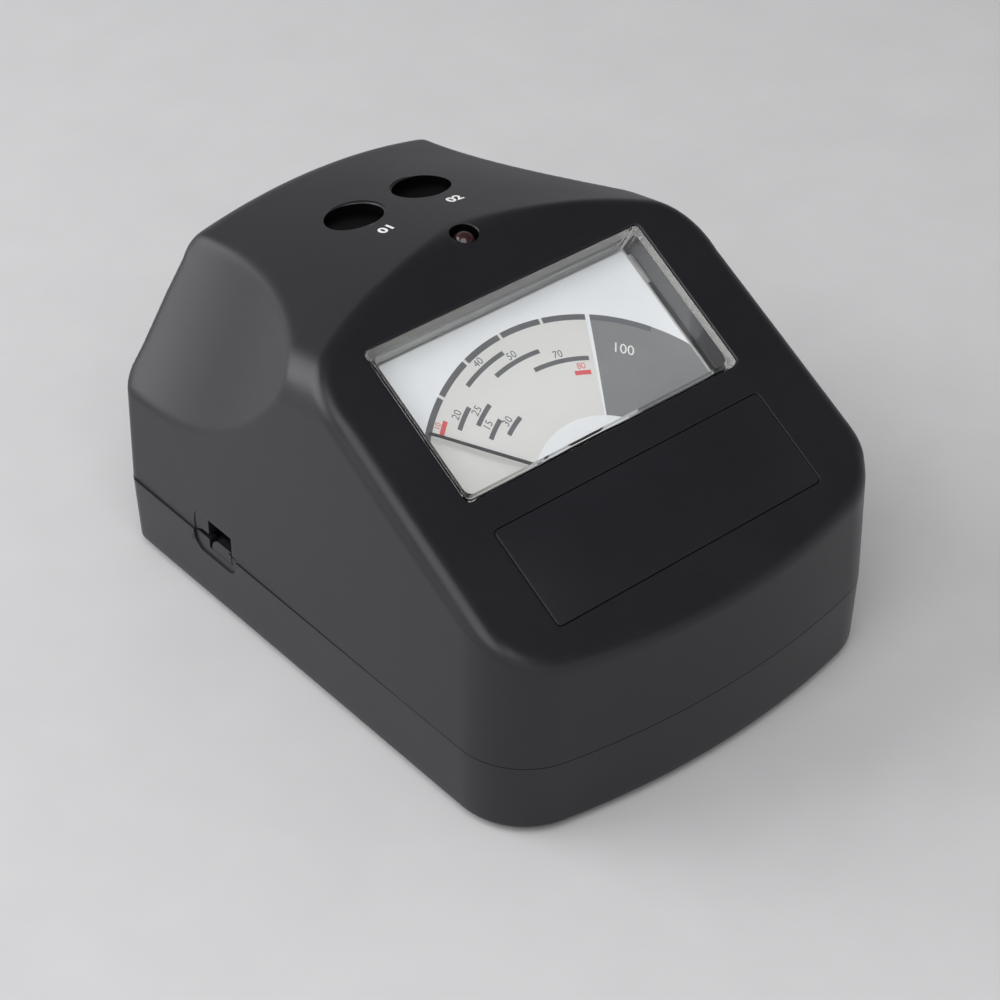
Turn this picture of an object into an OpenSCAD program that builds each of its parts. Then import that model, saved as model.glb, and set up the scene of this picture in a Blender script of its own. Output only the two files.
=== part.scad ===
// Bench gemstone tester: a moulded two-shell housing with a sloped panel, a moving-coil meter behind a
// clear cover, two reference discs in the deck, a keyed probe socket and a battery box in the base.
// Millimetres. +X is right, +Y is back, +Z is up; the origin is on the table under the middle.

/* [Housing] */
// Width at the parting line, mm
body_w = 100; // [98:1:115]
// Length from the bowed front to the rear wall, mm
body_l = 131; // [129:1:145]
// Wall thickness of both shells, mm
wall = 2.5; // [2.2:0.1:2.8]
// Inward lean of the upper walls, degrees
draft = 1.5; // [0.5:0.1:2]
// Plan radius of the bowed front wall, mm
bow_r = 178; // [150:1:260]
// Plan radius of the front corners, mm
front_corner_r = 16; // [13:0.5:18]
// Plan radius of the rear corners, mm
rear_corner_r = 5; // [4.5:0.5:8]
// Radius of the soft edge round the panel and deck, mm
edge_r = 3.5; // [2.5:0.5:4.5]
// Radius of the softer edge between deck and rear wall, mm
rear_edge_r = 7; // [5:0.5:9]

/* [Panel and deck] */
// Slope of the front panel, degrees
panel_tilt = 30; // [29:0.5:31]
// Height of the panel plane above the table at the front wall, mm
panel_front_z = 38.3; // [37:0.1:42]
// Distance from the front wall back to the ridge, mm
ridge_back = 77.5; // [76:0.5:80]
// Radius that rounds the ridge between panel and deck, mm
ridge_r = 12; // [9:1:16]
// Backward slope of the deck, degrees
deck_tilt = 10.5; // [9:0.5:12]
// Radius of the deck's sideways crown, mm
crown_r = 122; // [110:1:160]
// Radius of the deck's shoulders, mm
shoulder_r = 11; // [9:1:14]

/* [Scoops] */
// Radius of the round cut at each rear side, mm
scoop_r = 104; // [96:1:112]
// Sideways distance of the scoop's deepest line from the middle, mm
scoop_x = 37.5; // [37:0.1:40]
// Distance of the scoop's deepest line ahead of the rear wall, mm
scoop_ahead = 2; // [0:0.5:6]
// Height of the scoop's deepest line, mm
scoop_z = 57.6; // [56.5:0.1:60]
// Climb of the scoop towards the middle, degrees
scoop_climb = 57; // [53:1:60]
// Backward lean of the scoop, degrees
scoop_lean = 14; // [8:1:17]

/* [Base] */
// Height of the base cover up to the parting line, mm
base_h = 16; // [15.8:0.1:18]
// How far the base narrows towards its bottom, mm
base_narrowing = 0.5; // [0.3:0.1:2]
// Radius of the base's bottom edge, mm
base_edge_r = 1; // [0.5:0.1:1.5]
// Thickness of the base floor, mm
floor_t = 2.5; // [2.2:0.1:3]
// Height of the locating lip above the parting line, mm
lip_h = 2; // [1.5:0.5:2.5]
// Thickness of the locating lip, mm
lip_t = 1.3; // [1:0.1:1.5]
// Diameter of a rubber foot, mm
foot_d = 11; // [8:0.5:13]
// How far a foot stands below the base, mm
foot_proud = 1.5; // [1:0.1:2.5]
// Depth of a foot's recess in the base, mm
foot_sunk = 1; // [0.6:0.1:1.4]

/* [Meter] */
// Width of the clear block that fills the window, mm
cover_w = 68.9; // [66:0.1:70]
// Height of that block along the panel, mm
cover_h = 34.9; // [33:0.1:35]
// Distance up the panel from the front wall to the window's lower edge, mm
window_low = 40.75; // [40:0.05:42]
// Corner radius of the window, mm
window_r = 1.2; // [0.8:0.1:2]
// Thickness of the clear front, mm
cover_t = 1.5; // [1.2:0.1:2]
// Thickness of the clear side walls, mm
cover_wall = 1.25; // [1:0.05:1.5]
// Depth of the dial's face below the panel, mm
dial_depth = 8.7; // [8.3:0.1:10]
// Thickness of the dial plate, mm
dial_t = 0.5; // [0.4:0.1:0.8]
// Distance up the panel from the front wall to the pointer's pivot, mm
pivot_up = 29.7; // [29:0.1:30.5]
// How far the meter reaches below the pivot, mm
meter_tail = 13.2; // [12.6:0.1:14]
// Depth of the meter's back below the panel, mm
meter_depth = 25; // [24.5:0.1:26]
// Length of the pointer from its pivot, mm
pointer_l = 40.4; // [36:0.1:41]
// Angle of the resting pointer from the panel's right, degrees
pointer_rest = 136; // [130:1:138]
// Height of the pointer above the dial, mm
pointer_lift = 2; // [1.8:0.1:2.2]

/* [Movement] */
// Radius of the round core magnet, mm
core_r = 5.5; // [5:0.1:5.7]
// Outer radius of the yoke ring, mm
yoke_r = 11; // [10.6:0.1:11.2]
// Thickness of the yoke ring, mm
yoke_t = 2.8; // [2.4:0.1:2.9]
// Height of the yoke ring, mm
yoke_h = 9; // [8.5:0.1:9.4]
// Width of the coil's winding, mm
coil_w = 4; // [3:0.1:4.2]
// Thickness of the coil's winding, mm
coil_t = 1.5; // [1.2:0.1:1.5]
// Radius of the pivot spindles, mm
spindle_r = 0.6; // [0.5:0.05:0.7]
// Thickness of a bridge strip, mm
bridge_t = 1; // [0.8:0.1:1.1]
// Width of a bridge strip, mm
bridge_w = 5; // [4:0.5:6]

/* [Nameplate] */
// Width of the inlaid plate, mm
name_w = 67.4; // [60:0.1:70]
// Height of the inlaid plate along the panel, mm
name_h = 21.5; // [18:0.1:22]
// Distance up the panel from the front wall to the plate's middle, mm
name_up = 22.85; // [22:0.05:24]
// Thickness of the plate, mm
name_t = 0.8; // [0.5:0.1:1]

/* [Reference discs] */
// Diameter of a well in the deck, mm
well_d = 12.2; // [11:0.1:12.6]
// Sideways distance of a well from the middle, mm
well_x = 8.65; // [8.6:0.05:10]
// Distance of the wells behind the ridge, mm
well_back = 24.5; // [22:0.5:26]
// Thickness of the lip over a disc, mm
well_lip = 2; // [1.5:0.1:2.4]
// How far a disc reaches under that lip all round, mm
disc_hold = 0.8; // [0.5:0.1:0.9]
// Thickness of a disc, mm
disc_t = 3; // [2.8:0.1:3.4]
// Thickness of the plate that holds the discs, mm
retainer_t = 1.6; // [1.2:0.1:2]
// Sideways distance of the retainer screws from the middle, mm
retainer_x = 20; // [19.5:0.5:21]

/* [Lamp] */
// Diameter of the lamp, mm
lamp_d = 5; // [4:0.1:5.2]
// Diameter of the hole over the lamp, mm
lamp_hole_d = 5.8; // [5.6:0.1:6.2]
// Length of the lamp, mm
lamp_l = 8.6; // [7:0.1:9]
// Depth of the lamp's tip below the ridge, mm
lamp_sunk = 0.1; // [0:0.1:2]

/* [Electronics] */
// Thickness of the circuit board, mm
board_t = 1.6; // [1.2:0.1:2]
// Height of the board's underside above the parting line, mm
board_lift = 4.7; // [4.6:0.1:5.2]
// Distance of the socket ahead of the rear wall, mm
socket_ahead = 32.5; // [31:0.5:34]
// Width of the socket's mouth, mm
mouth_w = 8.2; // [7:0.1:8.6]
// Height of the socket's mouth, mm
mouth_h = 6.4; // [6:0.1:6.5]
// Depth of the socket's mouth, mm
mouth_depth = 8; // [6:0.5:9]
// Width of the key that stands up in the mouth, mm
key_w = 4.4; // [3:0.1:5]
// Height of that key, mm
key_h = 2.1; // [1.5:0.1:2.2]
// Width of the pocket round the socket, mm
pocket_w = 13; // [12:0.5:14]
// Depth of that pocket in the wall, mm
pocket_depth = 1.1; // [1:0.1:1.6]
// Travel of the power switch, mm
switch_travel = 3; // [2:0.5:3.5]

/* [Power] */
// Diameter of a battery, mm
cell_d = 10.5; // [10:0.1:10.5]
// Length of a battery over its tip, mm
cell_l = 44.5; // [43:0.1:44.5]
// Thickness of the battery door, mm
door_t = 2; // [1.6:0.1:2.1]

/* [Fits] */
// Gap round fixed pieces that are set in a recess, mm
fit = 0.2; // [0.15:0.05:0.3]
// Gap round moving pieces, mm
run_gap = 0.3; // [0.3:0.05:0.4]
// Diameter of the large screws, mm
screw_d = 3; // [2.6:0.1:3]
// Diameter of the small screws, mm
small_screw_d = 2; // [1.6:0.1:2]

/* [Hidden] */
$fn = 48;

// Steps that curved outlines of the rounded shells are drawn with
bow_steps = 10;
corner_steps = 8;
ridge_steps = 6;
crown_steps = 12;
rear_steps = 6;
shoulder_steps = 7;
ball_fn = 24;
scoop_fn = 200;
slab_t = 0.01;
// A length past every face of the part, for cuts that run right through
far = 200;
// Overlap of a cut past the face it opens
past = 1;

// Heights of the shells
base_z = foot_proud;
floor_z = base_z + floor_t;
part_z = base_z + base_h;
// Side view of the panel, ridge and deck
front_y = -body_l / 2;
rear_y = body_l / 2;
ridge_y = front_y + ridge_back;
ridge_z = panel_front_z + ridge_back * tan(panel_tilt);
panel_normal = [-sin(panel_tilt), cos(panel_tilt)];
deck_normal = [sin(deck_tilt), cos(deck_tilt)];
ridge_hub = [ridge_y, ridge_z] - ridge_r * (panel_normal + deck_normal) / (1 + panel_normal * deck_normal);
// The deck rolls over to the rear wall a hair outside the wall's face, so that it meets the wall cleanly
rear_normal = [cos(draft), sin(draft)];
rear_hub = line_meet(deck_normal, deck_normal * [ridge_y, ridge_z] - rear_edge_r,
    rear_normal, rear_normal * [rear_y, part_z] - rear_edge_r + slab_t);
// Half width of the wall where the shoulders start
shoulder_x = body_w / 2 - (ridge_z - shoulder_r - part_z) * tan(draft);
// Case screws and their posts
case_post_r = 4;
case_post_x = body_w / 2 - 11;
case_post_front = front_y + 14.5;
case_post_rear = rear_y - 10.5;
case_bore_d = screw_d + 0.1;
case_head_d = screw_d * 1.85;
case_head_h = screw_d * 0.65;
case_head_z = base_z + 7;
case_screw_l = 18;
case_posts = [[-case_post_x, case_post_front], [case_post_x, case_post_front],
    [-case_post_x, case_post_rear], [case_post_x, case_post_rear]];
// Feet
foot_side = 13;
foot_end = 29;
foot_x = body_w / 2 - foot_side;
foot_y = body_l / 2 - foot_end;
feet = [[-foot_x, -foot_y], [foot_x, -foot_y], [-foot_x, foot_y], [foot_x, foot_y]];
// Meter, measured in the panel's own frame: x right, y up the panel, z out of it
window_high = window_low + cover_h;
meter_low = pivot_up - meter_tail;
meter_top = window_high;
hood_z = -wall - fit;
rim_z = -dial_depth - dial_t;
pointer_z = -dial_depth + pointer_lift;
pointer_t = 0.3;
tub_wall = 2.2;
tub_floor = 1.5;
ear_r = 3.5;
ear_t = 3;
ear_x = cover_w / 2 + ear_r + 2 * fit;
ear_low = meter_low + 6;
ear_high = meter_top - 6;
ears = [[-ear_x, ear_low], [ear_x, ear_low], [-ear_x, ear_high], [ear_x, ear_high]];
ear_head_h = screw_d * 0.65;
ear_screw_l = 7.5;
terminal_x = 14;
terminal_up = meter_top - 24;
terminal_r = 1.5;
terminal_l = 6;
dial_hole_r = yoke_r + 0.5;
dial_post_x = cover_w / 2 - 6.5;
dial_post_up = meter_low + 7.5;
dial_post_r = 2.4;
small_head_d = small_screw_d * 1.9;
small_head_h = small_screw_d * 0.4;
small_bore_d = small_screw_d + 0.1;
dial_screw_l = 6;
// Movement, measured from the dial downwards
yoke_z = rim_z - 1.3;
yoke_back = yoke_z - yoke_h;
yoke_hole_r = yoke_r - yoke_t;
core_inset = 0.3;
coil_gap = 0.5;
coil_bar = 0.7;
coil_r = core_r + coil_gap;
coil_front = yoke_z + coil_bar + 0.2;
coil_back = yoke_back - coil_bar - 0.2;
bracket_w = 4;
bracket_inset = 1.5;
leg_w = 2;
bridge_z = hood_z - cover_t - run_gap - bridge_t;
rear_bridge_z = coil_back - 2.1;
jewel_r = 1.2;
jewel_stick = 0.2;
jewel_slot = 0.4;
tip_gap = 0.05;
spindle_tip = 0.5;
spring_t = 0.25;
spring_h = 0.4;
spring_in = 1.5;
spring_out = 4.6;
spring_turns = 3;
spring_steps = 20;
hub_r = 1.6;
hub_h = 1.2;
hub_bore_r = spindle_r + 0.02;
blade_root = 0.7;
blade_tip = 0.5;
tail_l = 8;
weight_r = 1.1;
// Reference discs, measured in the deck's frame at the wells
well_y = ridge_y + well_back;
disc_d = well_d + 2 * disc_hold;
sleeve_t = 1.8;
sleeve_d = disc_d + 2 * fit + 2 * sleeve_t;
retainer_z = -well_lip - disc_t;
retainer_h = 17;
retainer_post_r = 2.8;
retainer_l = 2 * (retainer_x + retainer_post_r);
retainer_screw_l = retainer_t + 2.2;
// Lamp on the ridge
lamp_y = ridge_y + 0.4;
lamp_rim_z = ridge_hub[1] + sqrt(ridge_r * ridge_r - pow(lamp_y - ridge_hub[0], 2));
lamp_tip_z = lamp_rim_z - lamp_sunk;
lamp_base_z = lamp_tip_z - lamp_l;
lamp_flange_d = lamp_hole_d + 0.3;
lamp_flange_h = 1;
lamp_collar_d = lamp_flange_d + 2 * fit + 3.6;
lamp_plug_h = 2.5;
lamp_pin_r = 0.25;
lamp_pin_x = 1.27;
lamp_pin_l = 6;
lamp_pin_hole_r = 0.4;
// Circuit board
board_z = part_z + board_lift;
board_top = board_z + board_t;
board_x = body_w / 2 - 6;
board_front = -28;
board_shoulder = 42;
board_tab_x = 25;
board_rear = rear_y - 5.5;
board_post_r = 3.2;
board_posts = [[-board_x + 6, board_front + 6], [board_x - 6, board_front + 6],
    [-board_tab_x + 5, board_rear - 10], [board_tab_x - 5, board_rear - 10]];
board_bore_d = small_screw_d + 0.1;
board_screw_l = 8;
chip = [10, 7.5, 2.4];
chip_y = board_shoulder - 6;
cap_r = 3.15;
cap_h = 7;
cap_x = 26;
cap_y = [4, 14];
wire_r = 0.7;
lead_x = 3;
lead_drop = 12;
lead_clear = 4;
lead_rise = 24;
lead_pad_y = board_shoulder - 16;
terminal_bend = 6;
terminal_pad = 8;
terminal_rise = 7;
wire_steps = 14;
wire_sides = 8;
// Probe socket under the board's left edge
socket_y = rear_y - socket_ahead;
socket_side = 2;
socket_lid = 1;
socket_back = 4;
socket_w = mouth_w + 2 * socket_side;
socket_h = mouth_h + 2 * socket_lid;
socket_l = mouth_depth + socket_back;
socket_face = body_w / 2 - wall - fit;
mouth_mid = board_z - socket_h / 2;
mouth_fit = 0.3;
pocket_low = part_z - 4.2;
pocket_high = part_z + 5.5;
pocket_r = 3;
// Power switch on the board's rear edge
switch_w = 13;
switch_l = 6;
switch_h = 5.5;
slider_w = 4.6;
slider_h = 3;
slider_z = board_top + switch_h / 2;
slider_sunk = 0.2;
slider_in = 3;
grip_groove = 0.8;
finger_w = 16;
finger_h = 8;
finger_deep = 1.3;
finger_r = 2;
// Batteries and their box
cell_count = 3;
cell_pitch = cell_d + 1.2;
cell_tip_r = 1.9;
cell_tip_l = 0.9;
plate_t = 0.4;
plate_w = 8;
spring_room = 5.7;
box_wall = 1.5;
box_x = (cell_l + spring_room + 2 * plate_t) / 2;
box_half = (cell_count * cell_pitch + 1) / 2;
box_y = 13;
cell_z = floor_z + cell_d / 2 + 0.4;
box_top = cell_z + cell_d / 2 + 0.5;
door_ledge = 1.4;
door_x = box_x + door_ledge;
door_half = box_half + door_ledge;
door_rib = 1.2;
door_rib_l = 20;
door_grip_w = 14;
door_grip = 1.2;
door_grip_deep = 0.6;
tab_w = 4;

function arc_points(hub, r, from, to, steps) =
    [for (i = [0:steps]) let (a = from + (to - from) * i / steps) hub + r * [cos(a), sin(a)]];

// Point where two lines meet, each given by its normal and its distance from the origin
function line_meet(n1, d1, n2, d2) =
    [d1 * n2[1] - d2 * n1[1], d2 * n1[0] - d1 * n2[0]] / (n1[0] * n2[1] - n2[0] * n1[1]);

// Plan outline of the housing, moved inwards by inset
function plan_outline(inset) =
    let (bow_y = front_y + bow_r)
    let (side = body_w / 2 - front_corner_r)
    let (corner_y = bow_y - sqrt(pow(bow_r - front_corner_r, 2) - side * side))
    let (turn = atan2(corner_y - bow_y, side))
    let (bow = arc_points([0, bow_y], bow_r - inset, -180 - turn, turn, bow_steps))
    let (rear_r = max(rear_corner_r, inset + slab_t))
    let (rear_x = body_w / 2 - rear_r)
    concat(
        [for (i = [1:bow_steps - 1]) bow[i]],
        arc_points([side, corner_y], front_corner_r - inset, turn, 0, corner_steps),
        arc_points([rear_x, rear_y - rear_r], rear_r - inset, 0, 90, corner_steps),
        arc_points([-rear_x, rear_y - rear_r], rear_r - inset, 90, 180, corner_steps),
        arc_points([-side, corner_y], front_corner_r - inset, 180, 180 - turn, corner_steps));

// Cross-section of the crowned deck with its shoulders, seen along the deck
function deck_section(inset) =
    let (reach = crown_r - shoulder_r)
    let (hub_x = shoulder_x - shoulder_r)
    let (hub_z = -crown_r + sqrt(reach * reach - hub_x * hub_x))
    let (turn = atan2(hub_z + crown_r, hub_x))
    let (crown = arc_points([0, -crown_r], crown_r - inset, turn, 180 - turn, crown_steps))
    let (foot = body_w / 2 + far * tan(draft))
    concat(
        [[foot, -far]],
        arc_points([hub_x, hub_z], shoulder_r - inset, draft, turn, shoulder_steps),
        [for (i = [1:crown_steps - 1]) crown[i]],
        arc_points([-hub_x, hub_z], shoulder_r - inset, 180 - turn, 180 - draft, shoulder_steps),
        [[-foot, -far]]);

// Side view of panel, rounded ridge, deck and rear edge
function side_section(inset) =
    let (arc = arc_points(ridge_hub, ridge_r - inset, 90 + panel_tilt, 90 - deck_tilt, ridge_steps))
    let (rear = arc_points(rear_hub, rear_edge_r - inset, 90 - deck_tilt, draft, rear_steps))
    concat(
        [arc[0] - far * [cos(panel_tilt), sin(panel_tilt)]],
        arc,
        rear,
        [[far, rear[rear_steps][1]], [far, -far], [-far, -far]]);

// Point in the part's frame of a point given in the panel's frame
function from_panel(p) = [p[0],
    front_y + p[1] * cos(panel_tilt) - p[2] * sin(panel_tilt),
    panel_front_z + p[1] * sin(panel_tilt) + p[2] * cos(panel_tilt)];

function bezier(p, t) =
    pow(1 - t, 3) * p[0] + 3 * t * pow(1 - t, 2) * p[1] + 3 * t * t * (1 - t) * p[2] + pow(t, 3) * p[3];

function bezier_way(p, t) =
    let (d = pow(1 - t, 2) * (p[1] - p[0]) + 2 * t * (1 - t) * (p[2] - p[1]) + t * t * (p[3] - p[2]))
    d / norm(d);

module on_panel() {
    translate([0, front_y, panel_front_z]) rotate([panel_tilt, 0, 0]) children();
}

module on_deck() {
    translate([0, well_y, ridge_z - well_back * tan(deck_tilt)]) rotate([-deck_tilt, 0, 0]) children();
}

module at_pivot(turn) {
    on_panel() translate([0, pivot_up, 0]) rotate([0, 0, turn]) children();
}

module box(low, high) {
    translate(low) cube(high - low);
}

module rounded_plate(w, h, r, low, high) {
    translate([0, 0, low]) linear_extrude(high - low) {
        square([w - 2 * r, h], center = true);
        square([w, h - 2 * r], center = true);
        for (x = [-1, 1], y = [-1, 1]) translate([x * (w / 2 - r), y * (h / 2 - r)]) circle(r);
    }
}

module slab(z, inset) {
    translate([0, 0, z]) linear_extrude(slab_t) polygon(plan_outline(inset));
}

// Closed form of the upper housing before the scoops, moved inwards by inset
module housing_form(inset) {
    skirt = 2 * edge_r;
    intersection() {
        hull() {
            slab(part_z - skirt, inset - skirt * tan(draft));
            slab(ridge_z, inset + (ridge_z - part_z) * tan(draft));
        }
        translate([0, ridge_y, ridge_z]) rotate([90 - deck_tilt, 0, 0])
            linear_extrude(2 * far, center = true) polygon(deck_section(inset));
        rotate([90, 0, 90]) linear_extrude(2 * far, center = true) polygon(side_section(inset));
    }
}

module rounded_housing() {
    intersection() {
        minkowski() {
            hull() housing_form(edge_r);
            sphere(edge_r, $fn = ball_fn);
        }
        box([-far, -far, part_z], [far, far, far]);
    }
}

// Round cuts at the rear sides, grown inwards by grow
module scoops(grow) {
    for (side = [0, 1]) mirror([side, 0, 0])
        translate([scoop_x, rear_y - scoop_ahead, scoop_z]) rotate([0, scoop_climb - 90, 0])
            rotate([-scoop_lean, 0, 0]) translate([scoop_r, 0, 0])
                cylinder(h = far, r = scoop_r + grow, center = true, $fn = scoop_fn);
}

// Posts, sleeves and collars that stand inside the upper case
module case_bosses() {
    for (p = case_posts) translate([p[0], p[1], part_z]) cylinder(h = far, r = case_post_r);
    on_panel() for (p = ears) translate([p[0], p[1], rim_z]) cylinder(h = -rim_z, r = ear_r);
    on_deck() {
        for (x = [-well_x, well_x]) translate([x, 0, retainer_z]) cylinder(h = -retainer_z, d = sleeve_d);
        for (x = [-retainer_x, retainer_x])
            translate([x, 0, retainer_z]) cylinder(h = -retainer_z, r = retainer_post_r);
    }
    translate([0, lamp_y, lamp_base_z - lamp_plug_h])
        cylinder(h = lamp_rim_z - lamp_base_z + lamp_plug_h, d = lamp_collar_d);
}

// Openings and bores of the upper case
module case_cuts() {
    on_panel() {
        translate([0, (window_low + window_high) / 2, 0])
            rounded_plate(cover_w + 2 * fit, cover_h + 2 * fit, window_r, rim_z, edge_r);
        translate([0, name_up, 0])
            rounded_plate(name_w + 2 * fit, name_h + 2 * fit, window_r, -name_t, edge_r);
        for (p = ears) translate([p[0], p[1], rim_z - past])
            cylinder(h = ear_screw_l - ear_t + 2 * past, d = case_bore_d);
    }
    on_deck() {
        for (x = [-well_x, well_x]) translate([x, 0, -far / 2]) {
            cylinder(h = far, d = well_d);
            cylinder(h = far / 2 - well_lip, d = disc_d + 2 * fit);
        }
        for (x = [-retainer_x, retainer_x]) translate([x, 0, retainer_z - past])
            cylinder(h = retainer_screw_l - retainer_t + past + fit, d = small_bore_d);
    }
    translate([0, lamp_y, lamp_base_z - lamp_plug_h - past]) {
        cylinder(h = far, d = lamp_hole_d);
        cylinder(h = lamp_plug_h + lamp_flange_h + past, d = lamp_flange_d + 2 * fit);
    }
    for (p = case_posts) translate([p[0], p[1], part_z - past])
        cylinder(h = case_screw_l - (part_z - case_head_z) + 2 * past, d = case_bore_d);
    socket_cut();
    translate([0, rear_y, slider_z]) rotate([90, 0, 0]) {
        rounded_plate(slider_w + switch_travel + 2 * run_gap, slider_h + 2 * run_gap, run_gap,
            -past, 2 * wall);
        rounded_plate(finger_w, finger_h, finger_r, -past, finger_deep);
    }
}

// Pocket and mouth opening for the probe socket, through both shells on the left
module socket_cut() {
    mid = (pocket_low + pocket_high) / 2;
    translate([-body_w / 2, socket_y, 0]) rotate([90, 0, 90]) {
        translate([0, mid, 0])
            rounded_plate(pocket_w, pocket_high - pocket_low, pocket_r, -past, pocket_depth);
        translate([0, mouth_mid, 0])
            rounded_plate(mouth_w + 2 * mouth_fit, mouth_h + 2 * mouth_fit, mouth_fit, 0, 2 * wall);
    }
}

module upper_case() {
    color([0.13, 0.13, 0.14]) difference() {
        rounded_housing();
        scoops(0);
        difference() {
            housing_form(wall);
            scoops(wall);
            case_bosses();
        }
        case_cuts();
    }
}

// Base shell form from the parting line down to a rounded bottom edge
module base_form() {
    hull() {
        slab(part_z - slab_t, 0);
        for (a = [0:22.5:90])
            slab(base_z + base_edge_r * (1 - sin(a)), base_narrowing + base_edge_r * (1 - cos(a)));
    }
}

module base_hollow() {
    hull() {
        slab(part_z, wall);
        slab(floor_z, base_narrowing + wall);
    }
}

module base_lip() {
    lip_in = wall + fit + lip_t;
    translate([0, 0, part_z]) linear_extrude(lip_h) difference() {
        polygon(plan_outline(wall + fit));
        polygon(plan_outline(lip_in));
    }
    translate([0, 0, part_z - lip_h]) linear_extrude(lip_h) difference() {
        polygon(plan_outline(wall / 2));
        polygon(plan_outline(lip_in));
    }
}

module battery_box() {
    box([-box_x - box_wall, box_y - box_half - box_wall, floor_z - past],
        [box_x + box_wall, box_y + box_half + box_wall, box_top + box_wall]);
}

module base_cuts() {
    for (p = case_posts) translate([p[0], p[1], 0]) {
        cylinder(h = part_z + past, d = screw_d + 2 * fit);
        cylinder(h = case_head_z, d = case_head_d + 2 * fit);
    }
    for (p = feet) translate([p[0], p[1], 0]) cylinder(h = base_z + foot_sunk, d = foot_d + 2 * fit);
    for (p = board_posts) translate([p[0], p[1], board_top - board_screw_l - past])
        cylinder(h = board_screw_l + past, d = board_bore_d);
    box([-box_x, box_y - box_half, 0], [box_x, box_y + box_half, box_top]);
    translate([0, box_y, 0])
        box([-door_x - fit, -door_half - fit, 0], [door_x + fit, door_half + fit, base_z + door_t]);
    for (at = tab_places) translate([at[0], at[1], box_top])
        box([-plate_t - fit, -tab_w / 2 - fit, -past], [plate_t + fit, tab_w / 2 + fit, box_wall + past]);
    socket_cut();
    translate([-socket_face, socket_y, board_z])
        box([-fit, -socket_w / 2 - fit, -socket_h - fit], [socket_l, socket_w / 2 + fit, 0]);
}

module base_cover() {
    color([0.12, 0.12, 0.13]) difference() {
        union() {
            difference() {
                base_form();
                base_hollow();
            }
            base_lip();
            for (p = case_posts) translate([p[0], p[1], floor_z - past])
                cylinder(h = part_z - floor_z + past, r = case_post_r);
            for (p = board_posts) translate([p[0], p[1], floor_z - past])
                cylinder(h = board_z - floor_z + past, r = board_post_r);
            battery_box();
        }
        base_cuts();
    }
}

module battery_door() {
    color([0.14, 0.14, 0.15]) difference() {
        union() {
            box([-door_x, box_y - door_half, base_z], [door_x, box_y + door_half, base_z + door_t]);
            for (side = [-1, 1]) translate([0, box_y + side * (box_half - fit - door_rib / 2), 0])
                box([-door_rib_l / 2, -door_rib / 2, base_z], [door_rib_l / 2, door_rib / 2, floor_z]);
        }
        for (i = [1:4]) translate([0, box_y + door_half - door_ledge - 2 * door_grip * i, base_z])
            box([-door_grip_w / 2, -door_grip / 2, -past], [door_grip_w / 2, door_grip / 2, door_grip_deep]);
    }
}

module rubber_feet() {
    color([0.05, 0.05, 0.05]) for (p = feet) translate([p[0], p[1], 0]) {
        cylinder(h = foot_proud / 2, d1 = foot_d - foot_proud, d2 = foot_d);
        translate([0, 0, foot_proud / 2]) cylinder(h = foot_proud / 2 + foot_sunk, d = foot_d);
    }
}

// Cross-slotted screw standing on z = 0 with its head below, shank upwards
module slotted_screw(shank_d, shank_l, head_d, head_h) {
    difference() {
        union() {
            translate([0, 0, -head_h]) cylinder(h = head_h, d = head_d);
            cylinder(h = shank_l, d = shank_d);
        }
        for (turn = [0, 90]) rotate([0, 0, turn])
            box([-head_d / 3, -head_d / 14, -head_h - past], [head_d / 3, head_d / 14, -head_h / 2]);
    }
}

module case_screws() {
    color([0.6, 0.6, 0.62]) for (p = case_posts) translate([p[0], p[1], case_head_z])
        slotted_screw(screw_d, case_screw_l, case_head_d, case_head_h);
}

module nameplate() {
    color([0.1, 0.1, 0.11]) on_panel() translate([0, name_up, 0])
        rounded_plate(name_w, name_h, window_r - fit, -name_t, 0);
}

module reference_disc(side) {
    on_deck() translate([side * well_x, 0, retainer_z]) cylinder(h = disc_t, d = disc_d);
}

module glass_disc() {
    color([0.03, 0.03, 0.03]) reference_disc(-1);
}

module metal_disc() {
    color([0.05, 0.05, 0.05]) reference_disc(1);
}

module disc_retainer() {
    color([0.75, 0.75, 0.72]) on_deck() difference() {
        rounded_plate(retainer_l, retainer_h, retainer_post_r, retainer_z - retainer_t, retainer_z);
        for (x = [-retainer_x, retainer_x]) translate([x, 0, retainer_z - retainer_t - past])
            cylinder(h = retainer_t + 2 * past, d = small_screw_d + 2 * fit);
    }
}

module retainer_screws() {
    color([0.6, 0.6, 0.62]) on_deck() for (x = [-retainer_x, retainer_x])
        translate([x, 0, retainer_z - retainer_t])
            slotted_screw(small_screw_d, retainer_screw_l, small_head_d, small_head_h);
}

module indicator_led() {
    color([0.85, 0.12, 0.12]) translate([0, lamp_y, lamp_base_z]) {
        cylinder(h = lamp_flange_h, d = lamp_flange_d);
        cylinder(h = lamp_l - lamp_d / 2, d = lamp_d);
        translate([0, 0, lamp_l - lamp_d / 2]) sphere(d = lamp_d);
        for (x = [-lamp_pin_x, lamp_pin_x]) translate([x, 0, -lamp_pin_l])
            cylinder(h = lamp_pin_l + lamp_flange_h / 2, r = lamp_pin_r);
    }
}

module led_holder() {
    color([0.15, 0.15, 0.16]) translate([0, lamp_y, lamp_base_z - lamp_plug_h]) difference() {
        cylinder(h = lamp_plug_h, d = lamp_flange_d + fit);
        for (x = [-lamp_pin_x, lamp_pin_x]) translate([x, 0, -past])
            cylinder(h = lamp_plug_h + 2 * past, r = lamp_pin_hole_r);
    }
}

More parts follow.
